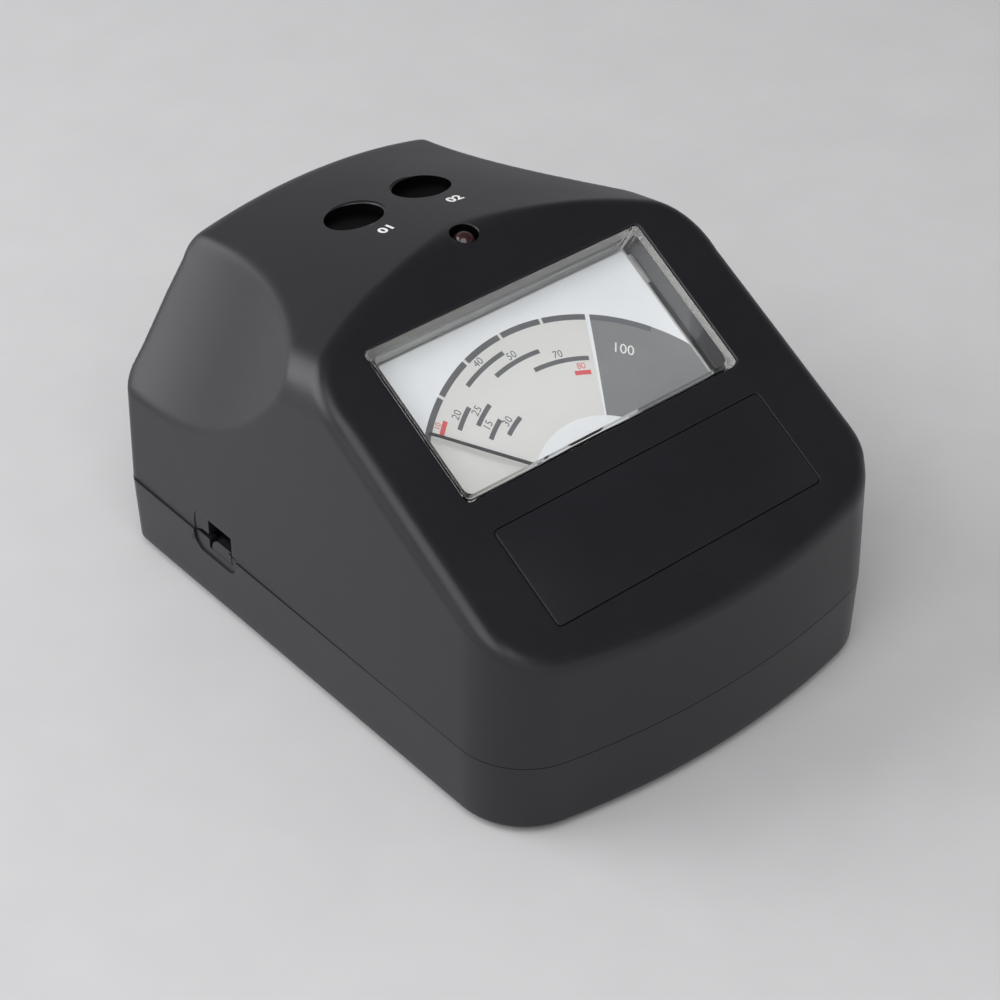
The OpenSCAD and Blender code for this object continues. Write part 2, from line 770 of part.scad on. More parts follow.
// Insulated wire swept along a curve through four guide points
module wire(guide) {
    rings = [for (i = [0:wire_steps]) let (t = i / wire_steps)
        let (way = bezier_way(guide, t))
        let (across = cross(way, [1, 0, 0]) / norm(cross(way, [1, 0, 0])))
        let (beside = cross(way, across))
        for (k = [0:wire_sides - 1]) bezier(guide, t)
            + wire_r * (cos(360 * k / wire_sides) * across + sin(360 * k / wire_sides) * beside)];
    last = wire_steps * wire_sides;
    sides = [for (i = [0:wire_steps - 1], k = [0:wire_sides - 1]) let (n = (k + 1) % wire_sides)
        [i * wire_sides + n, i * wire_sides + k, (i + 1) * wire_sides + k, (i + 1) * wire_sides + n]];
    ends = [[for (k = [0:wire_sides - 1]) k], [for (k = [wire_sides - 1:-1:0]) last + k]];
    polyhedron(rings, concat(sides, ends));
}

module led_leads() {
    pin_end = lamp_base_z - lamp_pin_l;
    meter_back = from_panel([0, meter_top, -meter_depth]);
    bend_y = max(lamp_y, meter_back[1] + lead_clear);
    color([0.7, 0.1, 0.1]) for (side = [-1, 1]) wire([
        [side * lamp_pin_x, lamp_y, pin_end], [side * lamp_pin_x, bend_y, pin_end - lead_drop],
        [side * lead_x, lead_pad_y, board_top + lead_rise], [side * lead_x, lead_pad_y, board_top]]);
}

module meter_cover() {
    high = (window_low + window_high) / 2;
    color([0.85, 0.9, 0.92, 0.35]) on_panel() difference() {
        union() {
            translate([0, high, 0]) rounded_plate(cover_w, cover_h, window_r - fit, rim_z, 0);
            box([-cover_w / 2, meter_low, rim_z], [cover_w / 2, window_high - window_r, hood_z]);
        }
        box([-cover_w / 2 + cover_wall, meter_low + cover_wall, rim_z - past],
            [cover_w / 2 - cover_wall, window_high - cover_wall, hood_z - cover_t]);
        box([-cover_w / 2 + cover_wall, window_low + cover_wall, rim_z - past],
            [cover_w / 2 - cover_wall, window_high - cover_wall, -cover_t]);
    }
}

module meter_body() {
    half = cover_w / 2;
    color([0.1, 0.1, 0.1]) on_panel() difference() {
        union() {
            difference() {
                box([-half, meter_low, -meter_depth], [half, meter_top, rim_z]);
                box([-half + tub_wall, meter_low + tub_wall, -meter_depth + tub_floor],
                    [half - tub_wall, meter_top - tub_wall, rim_z + past]);
            }
            for (p = ears) {
                translate([p[0], p[1], rim_z - ear_t]) cylinder(h = ear_t, r = ear_r);
                root = p[0] > 0 ? half - past : -half + past;
                box([min(root, p[0]), p[1] - ear_r, rim_z - ear_t], [max(root, p[0]), p[1] + ear_r, rim_z]);
            }
            for (x = [-dial_post_x, dial_post_x]) translate([x, dial_post_up, -meter_depth])
                cylinder(h = meter_depth + rim_z, r = dial_post_r);
            for (side = [-1, 1]) translate([0, pivot_up + side * (yoke_r - yoke_t / 2), 0])
                box([-bridge_w, -yoke_t / 2, -meter_depth], [bridge_w, yoke_t / 2, yoke_back]);
        }
        for (p = ears) translate([p[0], p[1], rim_z - ear_t - past])
            cylinder(h = ear_t + 2 * past, d = screw_d + 2 * fit);
        for (x = [-dial_post_x, dial_post_x]) translate([x, dial_post_up, rim_z - dial_screw_l])
            cylinder(h = dial_screw_l + past, d = small_bore_d);
    }
}

module meter_screws() {
    color([0.6, 0.6, 0.62]) on_panel() for (p = ears) translate([p[0], p[1], rim_z - ear_t])
        slotted_screw(screw_d, ear_screw_l, case_head_d, ear_head_h);
}

module meter_terminals() {
    color([0.75, 0.6, 0.3]) on_panel() for (x = [-terminal_x, terminal_x])
        translate([x, terminal_up, -meter_depth - terminal_l]) cylinder(h = terminal_l, r = terminal_r);
}

module meter_leads() {
    color([0.1, 0.1, 0.5]) for (side = [-1, 1]) {
        start = from_panel([side * terminal_x, terminal_up, -meter_depth - terminal_l]);
        way = from_panel([side * terminal_x, terminal_up, -meter_depth - terminal_l - terminal_bend]);
        pad = [side * terminal_x, start[1] + terminal_pad, board_top];
        wire([start, way, pad + [0, 0, terminal_rise], pad]);
    }
}

module dial_plate() {
    half = cover_w / 2 - cover_wall - fit;
    color([0.92, 0.92, 0.92]) on_panel() difference() {
        box([-half, meter_low + cover_wall + fit, rim_z], [half, meter_top - cover_wall - fit, -dial_depth]);
        translate([0, pivot_up, rim_z - past]) cylinder(h = dial_t + 2 * past, r = dial_hole_r);
        for (x = [-dial_post_x, dial_post_x]) translate([x, dial_post_up, rim_z - past])
            cylinder(h = dial_t + 2 * past, d = small_screw_d + 2 * fit);
    }
}

module dial_screws() {
    color([0.6, 0.6, 0.62]) on_panel() for (x = [-dial_post_x, dial_post_x])
        translate([x, dial_post_up, -dial_depth]) rotate([180, 0, 0])
            slotted_screw(small_screw_d, dial_screw_l - past, small_head_d, small_head_h);
}

module pointer() {
    color([0.05, 0.05, 0.05]) at_pivot(pointer_rest) difference() {
        union() {
            translate([0, 0, pointer_z - hub_h / 2]) cylinder(h = hub_h, r = hub_r);
            translate([0, 0, pointer_z - pointer_t / 2]) linear_extrude(pointer_t) polygon([
                [-tail_l, -blade_root / 2], [0, -blade_root / 2], [pointer_l, -blade_tip / 2],
                [pointer_l, blade_tip / 2], [0, blade_root / 2], [-tail_l, blade_root / 2]]);
            translate([-tail_l, 0, pointer_z - hub_h / 2]) cylinder(h = hub_h, r = weight_r);
        }
        translate([0, 0, pointer_z - hub_h]) cylinder(h = 2 * hub_h, r = hub_bore_r);
    }
}

module pivot_spindles() {
    front_tip = bridge_z - jewel_stick - tip_gap;
    rear_tip = rear_bridge_z + jewel_stick + tip_gap;
    color([0.7, 0.7, 0.72]) at_pivot(0) {
        translate([0, 0, coil_front]) cylinder(h = front_tip - spindle_tip - coil_front, r = spindle_r);
        translate([0, 0, front_tip - spindle_tip])
            cylinder(h = spindle_tip, r1 = spindle_r, r2 = spindle_r / 4);
        translate([0, 0, rear_tip]) cylinder(h = spindle_tip, r1 = spindle_r / 4, r2 = spindle_r);
        translate([0, 0, rear_tip + spindle_tip])
            cylinder(h = coil_back - rear_tip - spindle_tip, r = spindle_r);
    }
}

module moving_coil() {
    out = coil_r + coil_t;
    color([0.75, 0.4, 0.2]) at_pivot(pointer_rest) difference() {
        box([-coil_w / 2, -out, coil_back], [coil_w / 2, out, coil_front]);
        box([-coil_w, -coil_r, coil_back + coil_bar], [coil_w, coil_r, coil_front - coil_bar]);
    }
}

module core_magnet() {
    color([0.35, 0.35, 0.37]) at_pivot(0) translate([0, 0, yoke_back + core_inset])
        cylinder(h = yoke_h - 2 * core_inset, r = core_r);
}

module core_brackets() {
    low = yoke_back + bracket_inset;
    color([0.8, 0.65, 0.3]) at_pivot(0) intersection() {
        difference() {
            translate([0, 0, low]) cylinder(h = yoke_h - 2 * bracket_inset, r = yoke_hole_r);
            translate([0, 0, low - past]) cylinder(h = yoke_h, r = core_r);
        }
        box([-bracket_w / 2, -yoke_r, -meter_depth], [bracket_w / 2, yoke_r, 0]);
    }
}

module yoke_ring() {
    color([0.5, 0.5, 0.52]) at_pivot(0) translate([0, 0, yoke_back]) difference() {
        cylinder(h = yoke_h, r = yoke_r);
        translate([0, 0, -past]) cylinder(h = yoke_h + 2 * past, r = yoke_hole_r);
    }
}

// Strip with two legs that stand on the yoke ring, bored for a jewel screw
module bridge(strip_low, foot_z) {
    low = min(strip_low, foot_z);
    high = max(strip_low + bridge_t, foot_z);
    difference() {
        union() {
            box([-yoke_r, -bridge_w / 2, strip_low], [yoke_r, bridge_w / 2, strip_low + bridge_t]);
            for (side = [-1, 1]) translate([side * (yoke_r - leg_w / 2), 0, 0])
                box([-leg_w / 2, -bridge_w / 2, low], [leg_w / 2, bridge_w / 2, high]);
        }
        translate([0, 0, strip_low - past]) cylinder(h = bridge_t + 2 * past, r = jewel_r + 0.02);
    }
}

module front_bridge() {
    color([0.8, 0.65, 0.3]) at_pivot(0) bridge(bridge_z, yoke_z);
}

module rear_bridge() {
    color([0.8, 0.65, 0.3]) at_pivot(0) bridge(rear_bridge_z - bridge_t, yoke_back);
}

module jewel_screws() {
    color([0.55, 0.55, 0.58]) at_pivot(0) {
        difference() {
            translate([0, 0, bridge_z - jewel_stick]) cylinder(h = bridge_t + jewel_stick, r = jewel_r);
            box([-jewel_r, -jewel_slot / 2, bridge_z + bridge_t / 2], [jewel_r, jewel_slot / 2, 0]);
        }
        translate([0, 0, rear_bridge_z - bridge_t]) cylinder(h = bridge_t + jewel_stick, r = jewel_r);
    }
}

// Flat spiral spring whose outer end runs to a bridge leg
module hairspring(z) {
    steps = spring_turns * spring_steps;
    mid = [for (i = [0:steps]) let (a = 360 * i / spring_steps)
        (spring_in + (spring_out - spring_in) * i / steps) * [cos(a), sin(a)]];
    edge = spring_t / 2;
    inside = [for (i = [0:steps]) mid[i] * (1 - edge / norm(mid[i]))];
    outside = [for (i = [steps:-1:0]) mid[i] * (1 + edge / norm(mid[i]))];
    translate([0, 0, z]) linear_extrude(spring_h) {
        polygon(concat(inside, outside));
        translate([spring_out - edge, -edge]) square([yoke_r - leg_w - spring_out + edge, spring_t]);
    }
}

module hairsprings() {
    color([0.7, 0.6, 0.3]) at_pivot(0) {
        hairspring((coil_front + pointer_z - hub_h / 2 - spring_h) / 2);
        hairspring((coil_back + rear_bridge_z - spring_h) / 2);
    }
}

module circuit_board() {
    color([0.1, 0.35, 0.18]) difference() {
        union() {
            box([-board_x, board_front, board_z], [board_x, board_shoulder, board_top]);
            box([-board_tab_x, board_shoulder - past, board_z], [board_tab_x, board_rear, board_top]);
        }
        for (p = board_posts) translate([p[0], p[1], board_z - past])
            cylinder(h = board_t + 2 * past, d = small_screw_d + 2 * fit);
    }
}

module board_screws() {
    color([0.6, 0.6, 0.62]) for (p = board_posts) translate([p[0], p[1], board_top]) rotate([180, 0, 0])
        slotted_screw(small_screw_d, board_screw_l - past, small_head_d, small_head_h);
}

module control_chip() {
    color([0.08, 0.08, 0.08]) translate([0, chip_y, board_top])
        box([-chip[0] / 2, -chip[1] / 2, 0], [chip[0] / 2, chip[1] / 2, chip[2]]);
}

module capacitors() {
    color([0.2, 0.25, 0.4]) for (y = cap_y) translate([cap_x, y, board_top]) cylinder(h = cap_h, r = cap_r);
}

module probe_socket() {
    low = board_z - socket_h;
    mouth_low = mouth_mid - mouth_h / 2;
    color([0.04, 0.04, 0.04]) translate([-socket_face, socket_y, 0]) {
        difference() {
            box([0, -socket_w / 2, low], [socket_l, socket_w / 2, board_z]);
            box([-past, -mouth_w / 2, mouth_low], [mouth_depth, mouth_w / 2, mouth_low + mouth_h]);
        }
        box([0, -key_w / 2, mouth_low], [mouth_depth, key_w / 2, mouth_low + key_h]);
    }
}

module power_switch() {
    slot_x = (slider_w + switch_travel) / 2 + run_gap;
    slot_z = slider_h / 2 + run_gap;
    color([0.7, 0.7, 0.72]) difference() {
        translate([0, board_rear, board_top]) box([-switch_w / 2, -switch_l, 0], [switch_w / 2, 0, switch_h]);
        translate([0, board_rear, slider_z])
            box([-slot_x, -slider_in - run_gap, -slot_z], [slot_x, past, slot_z]);
    }
}

module switch_slider() {
    tip = rear_y - slider_sunk;
    color([0.05, 0.05, 0.05]) translate([-switch_travel / 2, 0, slider_z]) difference() {
        box([-slider_w / 2, board_rear - slider_in, -slider_h / 2], [slider_w / 2, tip, slider_h / 2]);
        for (x = [-1, 0, 1]) translate([x * 2 * grip_groove, tip, 0])
            box([-grip_groove / 2, -grip_groove / 2, -slider_h], [grip_groove / 2, past, slider_h]);
    }
}

// Which way each battery points, and where it lies
function cell_way(i) = i % 2 == 0 ? 1 : -1;
function cell_y(i) = box_y + (i - (cell_count - 1) / 2) * cell_pitch;
// Battery ends that the board's tabs rise from: the first tip and the last flat end
tab_places = [[cell_way(0) * box_x, cell_y(0)], [-cell_way(cell_count - 1) * box_x, cell_y(cell_count - 1)]];

module batteries() {
    color([0.75, 0.55, 0.2]) for (i = [0:cell_count - 1]) translate([0, cell_y(i), cell_z])
        rotate([0, 90 * cell_way(i), 0]) translate([0, 0, box_x - plate_t - cell_l]) {
            cylinder(h = cell_l - cell_tip_l, d = cell_d);
            cylinder(h = cell_l, r = cell_tip_r);
        }
}

module battery_plates() {
    color([0.75, 0.75, 0.7]) for (i = [0:cell_count - 1]) {
        x = cell_way(i) * box_x;
        box([min(x, x - cell_way(i) * plate_t), cell_y(i) - plate_w / 2, cell_z - plate_w / 2],
            [max(x, x - cell_way(i) * plate_t), cell_y(i) + plate_w / 2, box_top - fit]);
    }
    color([0.75, 0.75, 0.7]) board_tab(tab_places[0]);
}

// Strip that rises from a contact through the box to the board
module board_tab(at) {
    inwards = at[0] > 0 ? -plate_t : plate_t;
    translate([at[0], at[1], 0])
        box([min(0, inwards), -tab_w / 2, cell_z], [max(0, inwards), tab_w / 2, board_z]);
}

// Bent leaf that presses on a battery's flat end
module battery_springs() {
    reach = 2 * box_x - plate_t - cell_l;
    color([0.75, 0.75, 0.7]) for (i = [0:cell_count - 1]) translate([0, cell_y(i) + plate_w / 2, cell_z])
        mirror([cell_way(i) > 0 ? 0 : 1, 0, 0]) translate([-box_x, 0, 0])
            rotate([90, 0, 0]) linear_extrude(plate_w) polygon([
                [0, -plate_w / 2], [plate_t, -plate_w / 2], [reach, -plate_t], [reach, plate_t],
                [reach - plate_t, plate_t], [plate_t, -plate_w / 2 + 2 * plate_t], [plate_t, plate_w / 2],
                [0, plate_w / 2]]);
    color([0.75, 0.75, 0.7]) board_tab(tab_places[1]);
}

upper_case();
base_cover();
battery_door();
rubber_feet();
case_screws();
nameplate();
glass_disc();
metal_disc();
disc_retainer();
retainer_screws();
indicator_led();
led_holder();
led_leads();
meter_cover();
meter_body();
meter_screws();
meter_terminals();
meter_leads();
dial_plate();
dial_screws();
pointer();
pivot_spindles();
moving_coil();
core_magnet();
core_brackets();
yoke_ring();
front_bridge();
rear_bridge();
jewel_screws();
hairsprings();
circuit_board();
board_screws();
control_chip();
capacitors();
probe_socket();
power_switch();
switch_slider();
batteries();
battery_plates();
battery_springs();
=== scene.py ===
import math

import bmesh
import bpy
import numpy as np
from mathutils import Matrix, Vector


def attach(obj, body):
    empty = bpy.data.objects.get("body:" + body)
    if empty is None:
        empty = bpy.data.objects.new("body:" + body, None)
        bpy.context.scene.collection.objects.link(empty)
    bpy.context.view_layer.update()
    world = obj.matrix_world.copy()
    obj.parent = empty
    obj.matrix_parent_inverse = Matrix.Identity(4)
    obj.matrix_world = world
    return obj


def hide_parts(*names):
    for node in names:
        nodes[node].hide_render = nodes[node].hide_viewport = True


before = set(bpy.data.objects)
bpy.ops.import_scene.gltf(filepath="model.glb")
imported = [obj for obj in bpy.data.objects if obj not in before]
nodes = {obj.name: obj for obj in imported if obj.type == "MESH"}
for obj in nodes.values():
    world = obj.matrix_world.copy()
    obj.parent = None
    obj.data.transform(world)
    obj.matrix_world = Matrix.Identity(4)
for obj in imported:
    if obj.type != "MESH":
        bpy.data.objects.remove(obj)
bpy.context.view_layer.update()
mm = 0.001
print("frame loaded:", len(nodes), "nodes")


shot = {"place": (-0.28176, -0.33184, 0.36469), "tilt": 51.926, "turn": -40.203, "lens": 97.2, "sensor": 36.0,
        "clip": (0.01, 50)}
studio = {
    "floorSize": 5.0, "backdrop": (0.95, 0.95, 0.96), "ceiling": (0.15, 0.15, 0.155), "ambient": 0.42,
    "fade": (0.15, 0.64), "side": (-0.3, 0.8), "sideLevel": (1.0, 0.42),  # paler low down and to the left
    "lamps": [  # name, place, aim, size, watts
        ("leftSoftbox", (-0.64, 0.60, 0.52), (0.0, 0.0, 0.04), 0.9, 6.4),
        ("topSoftbox", (-0.52, -0.44, 1.0), (0.0, 0.0, 0.05), 1.2, 8.4),
    ],
}


def addObject(name, data):
    obj = bpy.data.objects.new(name, data)
    bpy.context.scene.collection.objects.link(obj)
    return obj


def setCamera():
    data = bpy.data.cameras.new("photoCamera")
    data.lens, data.sensor_width = shot["lens"], shot["sensor"]
    data.clip_start, data.clip_end = shot["clip"]
    cam = addObject("photoCamera", data)
    cam.location = shot["place"]
    cam.rotation_euler = (math.radians(shot["tilt"]), 0, math.radians(shot["turn"]))
    bpy.context.scene.camera = cam


def rayIsSeen(tree):
    rays = tree.nodes.new("ShaderNodeLightPath").outputs
    seen = mathNode(tree, "MAXIMUM", rays["Is Camera Ray"], rays["Is Glossy Ray"])
    return mathNode(tree, "MAXIMUM", seen, rays["Is Transmission Ray"])


def mixShaders(tree, *sources):  # factor, first, second
    mix = tree.nodes.new("ShaderNodeMixShader")
    for socket, source in zip(mix.inputs, sources):
        tree.links.new(source, socket)
    return mix.outputs[0]


def setLight():
    bpy.context.scene.view_settings.view_transform = "Standard"
    world = bpy.data.worlds.new("studioWorld")
    bpy.context.scene.world = world
    world.use_nodes = True
    tree = world.node_tree
    tree.nodes.clear()
    light = tree.nodes.new("ShaderNodeBackground")
    light.inputs["Color"].default_value = (1, 1, 1, 1)
    light.inputs["Strength"].default_value = studio["ambient"]
    ways = tree.nodes.new("ShaderNodeTexCoord").outputs["Generated"]
    x, _, z = addLinked(tree, "ShaderNodeSeparateXYZ", Vector=ways).outputs
    fade = spread(tree, z, 0.0, 1.0, studio["fade"])
    sky = mixColor(tree, fade, (*studio["backdrop"], 1), (*studio["ceiling"], 1))
    level = spread(tree, x, *studio["sideLevel"], studio["side"])
    seen = addLinked(tree, "ShaderNodeBackground", Color=sky, Strength=level)
    mix = mixShaders(tree, rayIsSeen(tree), light.outputs[0], seen.outputs[0])
    addLinked(tree, "ShaderNodeOutputWorld", Surface=mix)
    for name, place, aim, size, watts in studio["lamps"]:
        data = bpy.data.lights.new(name, "AREA")
        data.shape, data.size, data.energy = "DISK", size, watts
        lamp = addObject(name, data)
        lamp.location = place
        lamp.rotation_euler = (Vector(aim) - Vector(place)).to_track_quat("-Z", "Y").to_euler()


def effectTree(name, inputs):
    tree = bpy.data.node_groups.new(name, "ShaderNodeTree")
    for label, value in inputs.items():
        kind = "NodeSocketColor" if isinstance(value, tuple) else "NodeSocketFloat"
        tree.interface.new_socket(label, in_out="INPUT", socket_type=kind).default_value = value
    for label, kind in (("Color", "Color"), ("Roughness", "Float"), ("Height", "Float")):
        tree.interface.new_socket(label, in_out="OUTPUT", socket_type="NodeSocket" + kind)
    coords = tree.nodes.new("ShaderNodeTexCoord").outputs["Object"]
    return tree, tree.nodes.new("NodeGroupInput").outputs, coords


def addLinked(tree, kind, **sources):  # a node with these inputs linked
    node = tree.nodes.new(kind)
    for label, source in sources.items():
        tree.links.new(source, node.inputs[label.replace("_", " ")])
    return node


def feed(tree, socket, value):  # a plain value is set, anything else is linked
    if isinstance(value, (int, float, tuple)):
        socket.default_value = value
    else:
        tree.links.new(value, socket)


def mathNode(tree, operation, first, second=0.0):
    node = tree.nodes.new("ShaderNodeMath")
    node.operation = operation
    feed(tree, node.inputs[0], first)
    feed(tree, node.inputs[1], second)
    return node.outputs[0]


def noiseNode(tree, vector, scale, detail=3.0, rough=0.55):
    node = tree.nodes.new("ShaderNodeTexNoise")
    for label, value in (("Vector", vector), ("Scale", scale), ("Detail", detail), ("Roughness", rough)):
        feed(tree, node.inputs[label], value)
    return node.outputs["Fac"]


def mixColor(tree, factor, first, second):
    node = tree.nodes.new("ShaderNodeMix")
    node.data_type = "RGBA"
    for index, value in ((0, factor), (6, first), (7, second)):  # the colour sockets of this node
        feed(tree, node.inputs[index], value)
    return node.outputs[2]


def spread(tree, value, low, high, span=(0.3, 0.7)):
    node = tree.nodes.new("ShaderNodeMapRange")
    limits = {"Value": value, "From Min": span[0], "From Max": span[1], "To Min": low, "To Max": high}
    for label, limit in limits.items():
        feed(tree, node.inputs[label], limit)
    return node.outputs["Result"]


def blendTone(tree, first, second, share):  # two noises in one tone
    return mathNode(tree, "ADD", mathNode(tree, "MULTIPLY", first, share),
                    mathNode(tree, "MULTIPLY", second, 1 - share))


def endEffect(tree, tone, dark, light, rough, height):
    color = mixColor(tree, spread(tree, tone, 0.0, 1.0), dark, light)
    addLinked(tree, "NodeGroupOutput", Color=color, Roughness=rough, Height=height)
    return tree


grain = {  # scales of the noises, and the share of the first one in each tone
    "cloud": 38.0, "speckle": 0.3, "cloudShare": 0.7, "speckleHeight": 0.6,
    "streak": 420.0, "stretch": (1.0, 9.0, 9.0), "metalCloud": 160.0, "streakShare": 0.6,
    "dots": 5200.0, "inkCloud": 240.0, "dotShare": 0.5, "inkDrift": 0.05,
}


def makeMouldGrain():
    tree, given, coords = effectTree("mouldGrain", {
        "Dark": (0.02, 0.02, 0.02, 1), "Light": (0.03, 0.03, 0.03, 1), "Grain Scale": 2600.0,
        "Smoothest": 0.4, "Roughest": 0.5})
    fine = noiseNode(tree, coords, given["Grain Scale"], 2.0)
    cloud = noiseNode(tree, coords, grain["cloud"], 4.0)
    speckle = noiseNode(tree, coords, mathNode(tree, "MULTIPLY", given["Grain Scale"], grain["speckle"]), 2.0)
    tone = blendTone(tree, cloud, speckle, grain["cloudShare"])
    rough = spread(tree, tone, given["Smoothest"], given["Roughest"])
    height = mathNode(tree, "ADD", fine, mathNode(tree, "MULTIPLY", speckle, grain["speckleHeight"]))
    return endEffect(tree, tone, given["Dark"], given["Light"], rough, height)


def makeMetalStreak():
    tree, given, coords = effectTree("metalStreak", {
        "Dark": (0.4, 0.4, 0.4, 1), "Light": (0.6, 0.6, 0.6, 1), "Smoothest": 0.2, "Roughest": 0.4})
    stretch = addLinked(tree, "ShaderNodeMapping", Vector=coords)
    stretch.inputs["Scale"].default_value = grain["stretch"]
    streak = noiseNode(tree, stretch.outputs["Vector"], grain["streak"])
    tone = blendTone(tree, streak, noiseNode(tree, coords, grain["metalCloud"]), grain["streakShare"])
    rough = spread(tree, tone, given["Smoothest"], given["Roughest"])
    return endEffect(tree, tone, given["Dark"], given["Light"], rough, streak)


def makePrintedInk():
    tree, given, coords = effectTree("printedInk", {
        "Ink": (0.5, 0.5, 0.5, 1), "Thin Ink": (0.6, 0.6, 0.6, 1), "Roughness": 0.6})
    dots = noiseNode(tree, coords, grain["dots"], 2.0)
    tone = blendTone(tree, dots, noiseNode(tree, coords, grain["inkCloud"]), grain["dotShare"])
    drift = spread(tree, dots, -grain["inkDrift"], grain["inkDrift"])
    rough = mathNode(tree, "ADD", given["Roughness"], drift)
    return endEffect(tree, tone, given["Ink"], given["Thin Ink"], rough, dots)


effects = {"mouldGrain": makeMouldGrain(), "metalStreak": makeMetalStreak(), "printedInk": makePrintedInk()}


def finish(name, effect, values, bump=0.1, depth=0.00004, **sockets):
    mat = bpy.data.materials.new(name)
    mat.use_nodes = True
    tree = mat.node_tree
    tree.nodes.clear()
    group = tree.nodes.new("ShaderNodeGroup")
    group.node_tree = effects[effect]
    for label, value in values.items():
        group.inputs[label].default_value = (*value, 1) if isinstance(value, tuple) else value
    relief = addLinked(tree, "ShaderNodeBump", Height=group.outputs["Height"])
    relief.inputs["Strength"].default_value, relief.inputs["Distance"].default_value = bump, depth
    shade = addLinked(tree, "ShaderNodeBsdfPrincipled", Base_Color=group.outputs["Color"],
                      Roughness=group.outputs["Roughness"], Normal=relief.outputs["Normal"])
    for label, value in sockets.items():
        shade.inputs[label.replace("_", " ")].default_value = value
    addLinked(tree, "ShaderNodeOutputMaterial", Surface=shade.outputs["BSDF"])
    return mat


def passShadows(mat):  # light reaches what lies behind a clear piece
    tree = mat.node_tree
    out, shade = (next(n for n in tree.nodes if n.type == kind) for kind in ("OUTPUT_MATERIAL", "BSDF_PRINCIPLED"))
    rays, clear = (tree.nodes.new(kind).outputs for kind in ("ShaderNodeLightPath", "ShaderNodeBsdfTransparent"))
    mix = mixShaders(tree, rays["Is Shadow Ray"], shade.outputs["BSDF"], clear["BSDF"])
    tree.links.new(mix, out.inputs["Surface"])


paint = {}


def rgb(tone):  # one number stands for a grey
    return tone if isinstance(tone, tuple) else (tone, tone, tone)


def mould(name, dark, light, smooth, rough, scale=2600.0, **more):
    values = {"Dark": rgb(dark), "Light": rgb(light), "Grain Scale": scale, "Smoothest": smooth, "Roughest": rough}
    paint[name] = finish(name, "mouldGrain", values, **more)


def metal(name, dark, light, smooth, rough, metallic=1.0):
    values = {"Dark": rgb(dark), "Light": rgb(light), "Smoothest": smooth, "Roughest": rough}
    paint[name] = finish(name, "metalStreak", values, Metallic=metallic)


def ink(name, full, thin, rough=0.55, bump=0.02):
    values = {"Ink": rgb(full), "Thin Ink": rgb(thin), "Roughness": rough}
    paint[name] = finish(name, "printedInk", values, bump)


mould("casePlastic", (0.0108, 0.0103, 0.0135), (0.0128, 0.0122, 0.0160), 0.32, 0.40, Specular_IOR_Level=0.46)
mould("platePlastic", (0.0118, 0.0112, 0.0146), (0.0138, 0.0132, 0.0170), 0.33, 0.39, bump=0.06,
      Specular_IOR_Level=0.4)
mould("innerPlastic", 0.03, 0.045, 0.5, 0.65)
mould("meterPlastic", (0.42, 0.42, 0.41), (0.5, 0.5, 0.49), 0.45, 0.6)
mould("footRubber", 0.012, 0.02, 0.7, 0.85, 1800.0, bump=0.25)
metal("screwSteel", (0.42, 0.42, 0.43), (0.62, 0.62, 0.63), 0.25, 0.42)
# the well discs are black, and are also painted darker and almost unreflecting, as painted shade at the bottom of the
# wells
mould("blackGlassAndShade", 0.0008, 0.0016, 0.3, 0.4, bump=0.02, Specular_IOR_Level=0.02)
mould("blackMetalAndShade", 0.0008, 0.002, 0.4, 0.5, bump=0.05, Specular_IOR_Level=0.02)
# painted shade: near-black, almost unreflecting paint for the inside of the wells and the lamp's hole
mould("holeShadePaint", (0.0008, 0.0008, 0.0009), (0.0018, 0.0018, 0.0019), 0.6, 0.75, Specular_IOR_Level=0.02)
mould("redLens", (0.024, 0.008, 0.008), (0.039, 0.014, 0.014), 0.12, 0.2, bump=0.02, Coat_Weight=0.25)
mould("wireRed", (0.38, 0.03, 0.025), (0.48, 0.05, 0.04), 0.3, 0.42)
mould("clearCover", (0.985, 0.99, 0.99), 1.0, 0.0, 0.025, 900.0, bump=0.004, depth=0.00001, IOR=1.46,
      Transmission_Weight=1.0)
passShadows(paint["clearCover"])
metal("brass", (0.58, 0.42, 0.17), (0.76, 0.58, 0.27), 0.22, 0.4)
ink("dialWhite", (0.775, 0.80, 0.82), (0.80, 0.825, 0.845), 0.5)
ink("pointerPaint", (0.055, 0.057, 0.06), (0.08, 0.082, 0.086), 0.45, 0.03)
metal("coilWire", (0.42, 0.16, 0.06), (0.62, 0.28, 0.12), 0.25, 0.4)
metal("magnet", (0.28, 0.28, 0.29), (0.4, 0.4, 0.41), 0.35, 0.5)
mould("boardGreen", (0.012, 0.13, 0.05), (0.02, 0.19, 0.075), 0.3, 0.45)
mould("chipBlack", 0.02, 0.03, 0.5, 0.65)
metal("canMetal", (0.1, 0.12, 0.2), (0.16, 0.18, 0.28), 0.3, 0.42, 0.3)
mould("socketBlack", 0.006, 0.01, 0.45, 0.6)
metal("switchMetal", (0.45, 0.45, 0.47), (0.65, 0.65, 0.67), 0.25, 0.4)
metal("cellCase", (0.16, 0.16, 0.17), (0.24, 0.24, 0.25), 0.25, 0.36, 0.6)
metal("contactSteel", (0.55, 0.55, 0.53), (0.75, 0.75, 0.72), 0.2, 0.35)
ink("scaleWarm", (0.665, 0.665, 0.647), (0.69, 0.69, 0.672))
ink("scaleGrey", (0.125, 0.13, 0.137), (0.15, 0.155, 0.162))
ink("scaleDark", (0.215, 0.218, 0.223), (0.245, 0.248, 0.253))
ink("scaleSlate", (0.135, 0.14, 0.16), (0.16, 0.165, 0.185))
ink("scaleRed", (0.62, 0.10, 0.11), (0.70, 0.15, 0.16))
ink("labelWhite", 0.78, 0.86)
mould("floorPale", (0.57, 0.57, 0.58), (0.60, 0.60, 0.61), 0.8, 0.9, 300.0, bump=0.02, Specular_IOR_Level=0.1)
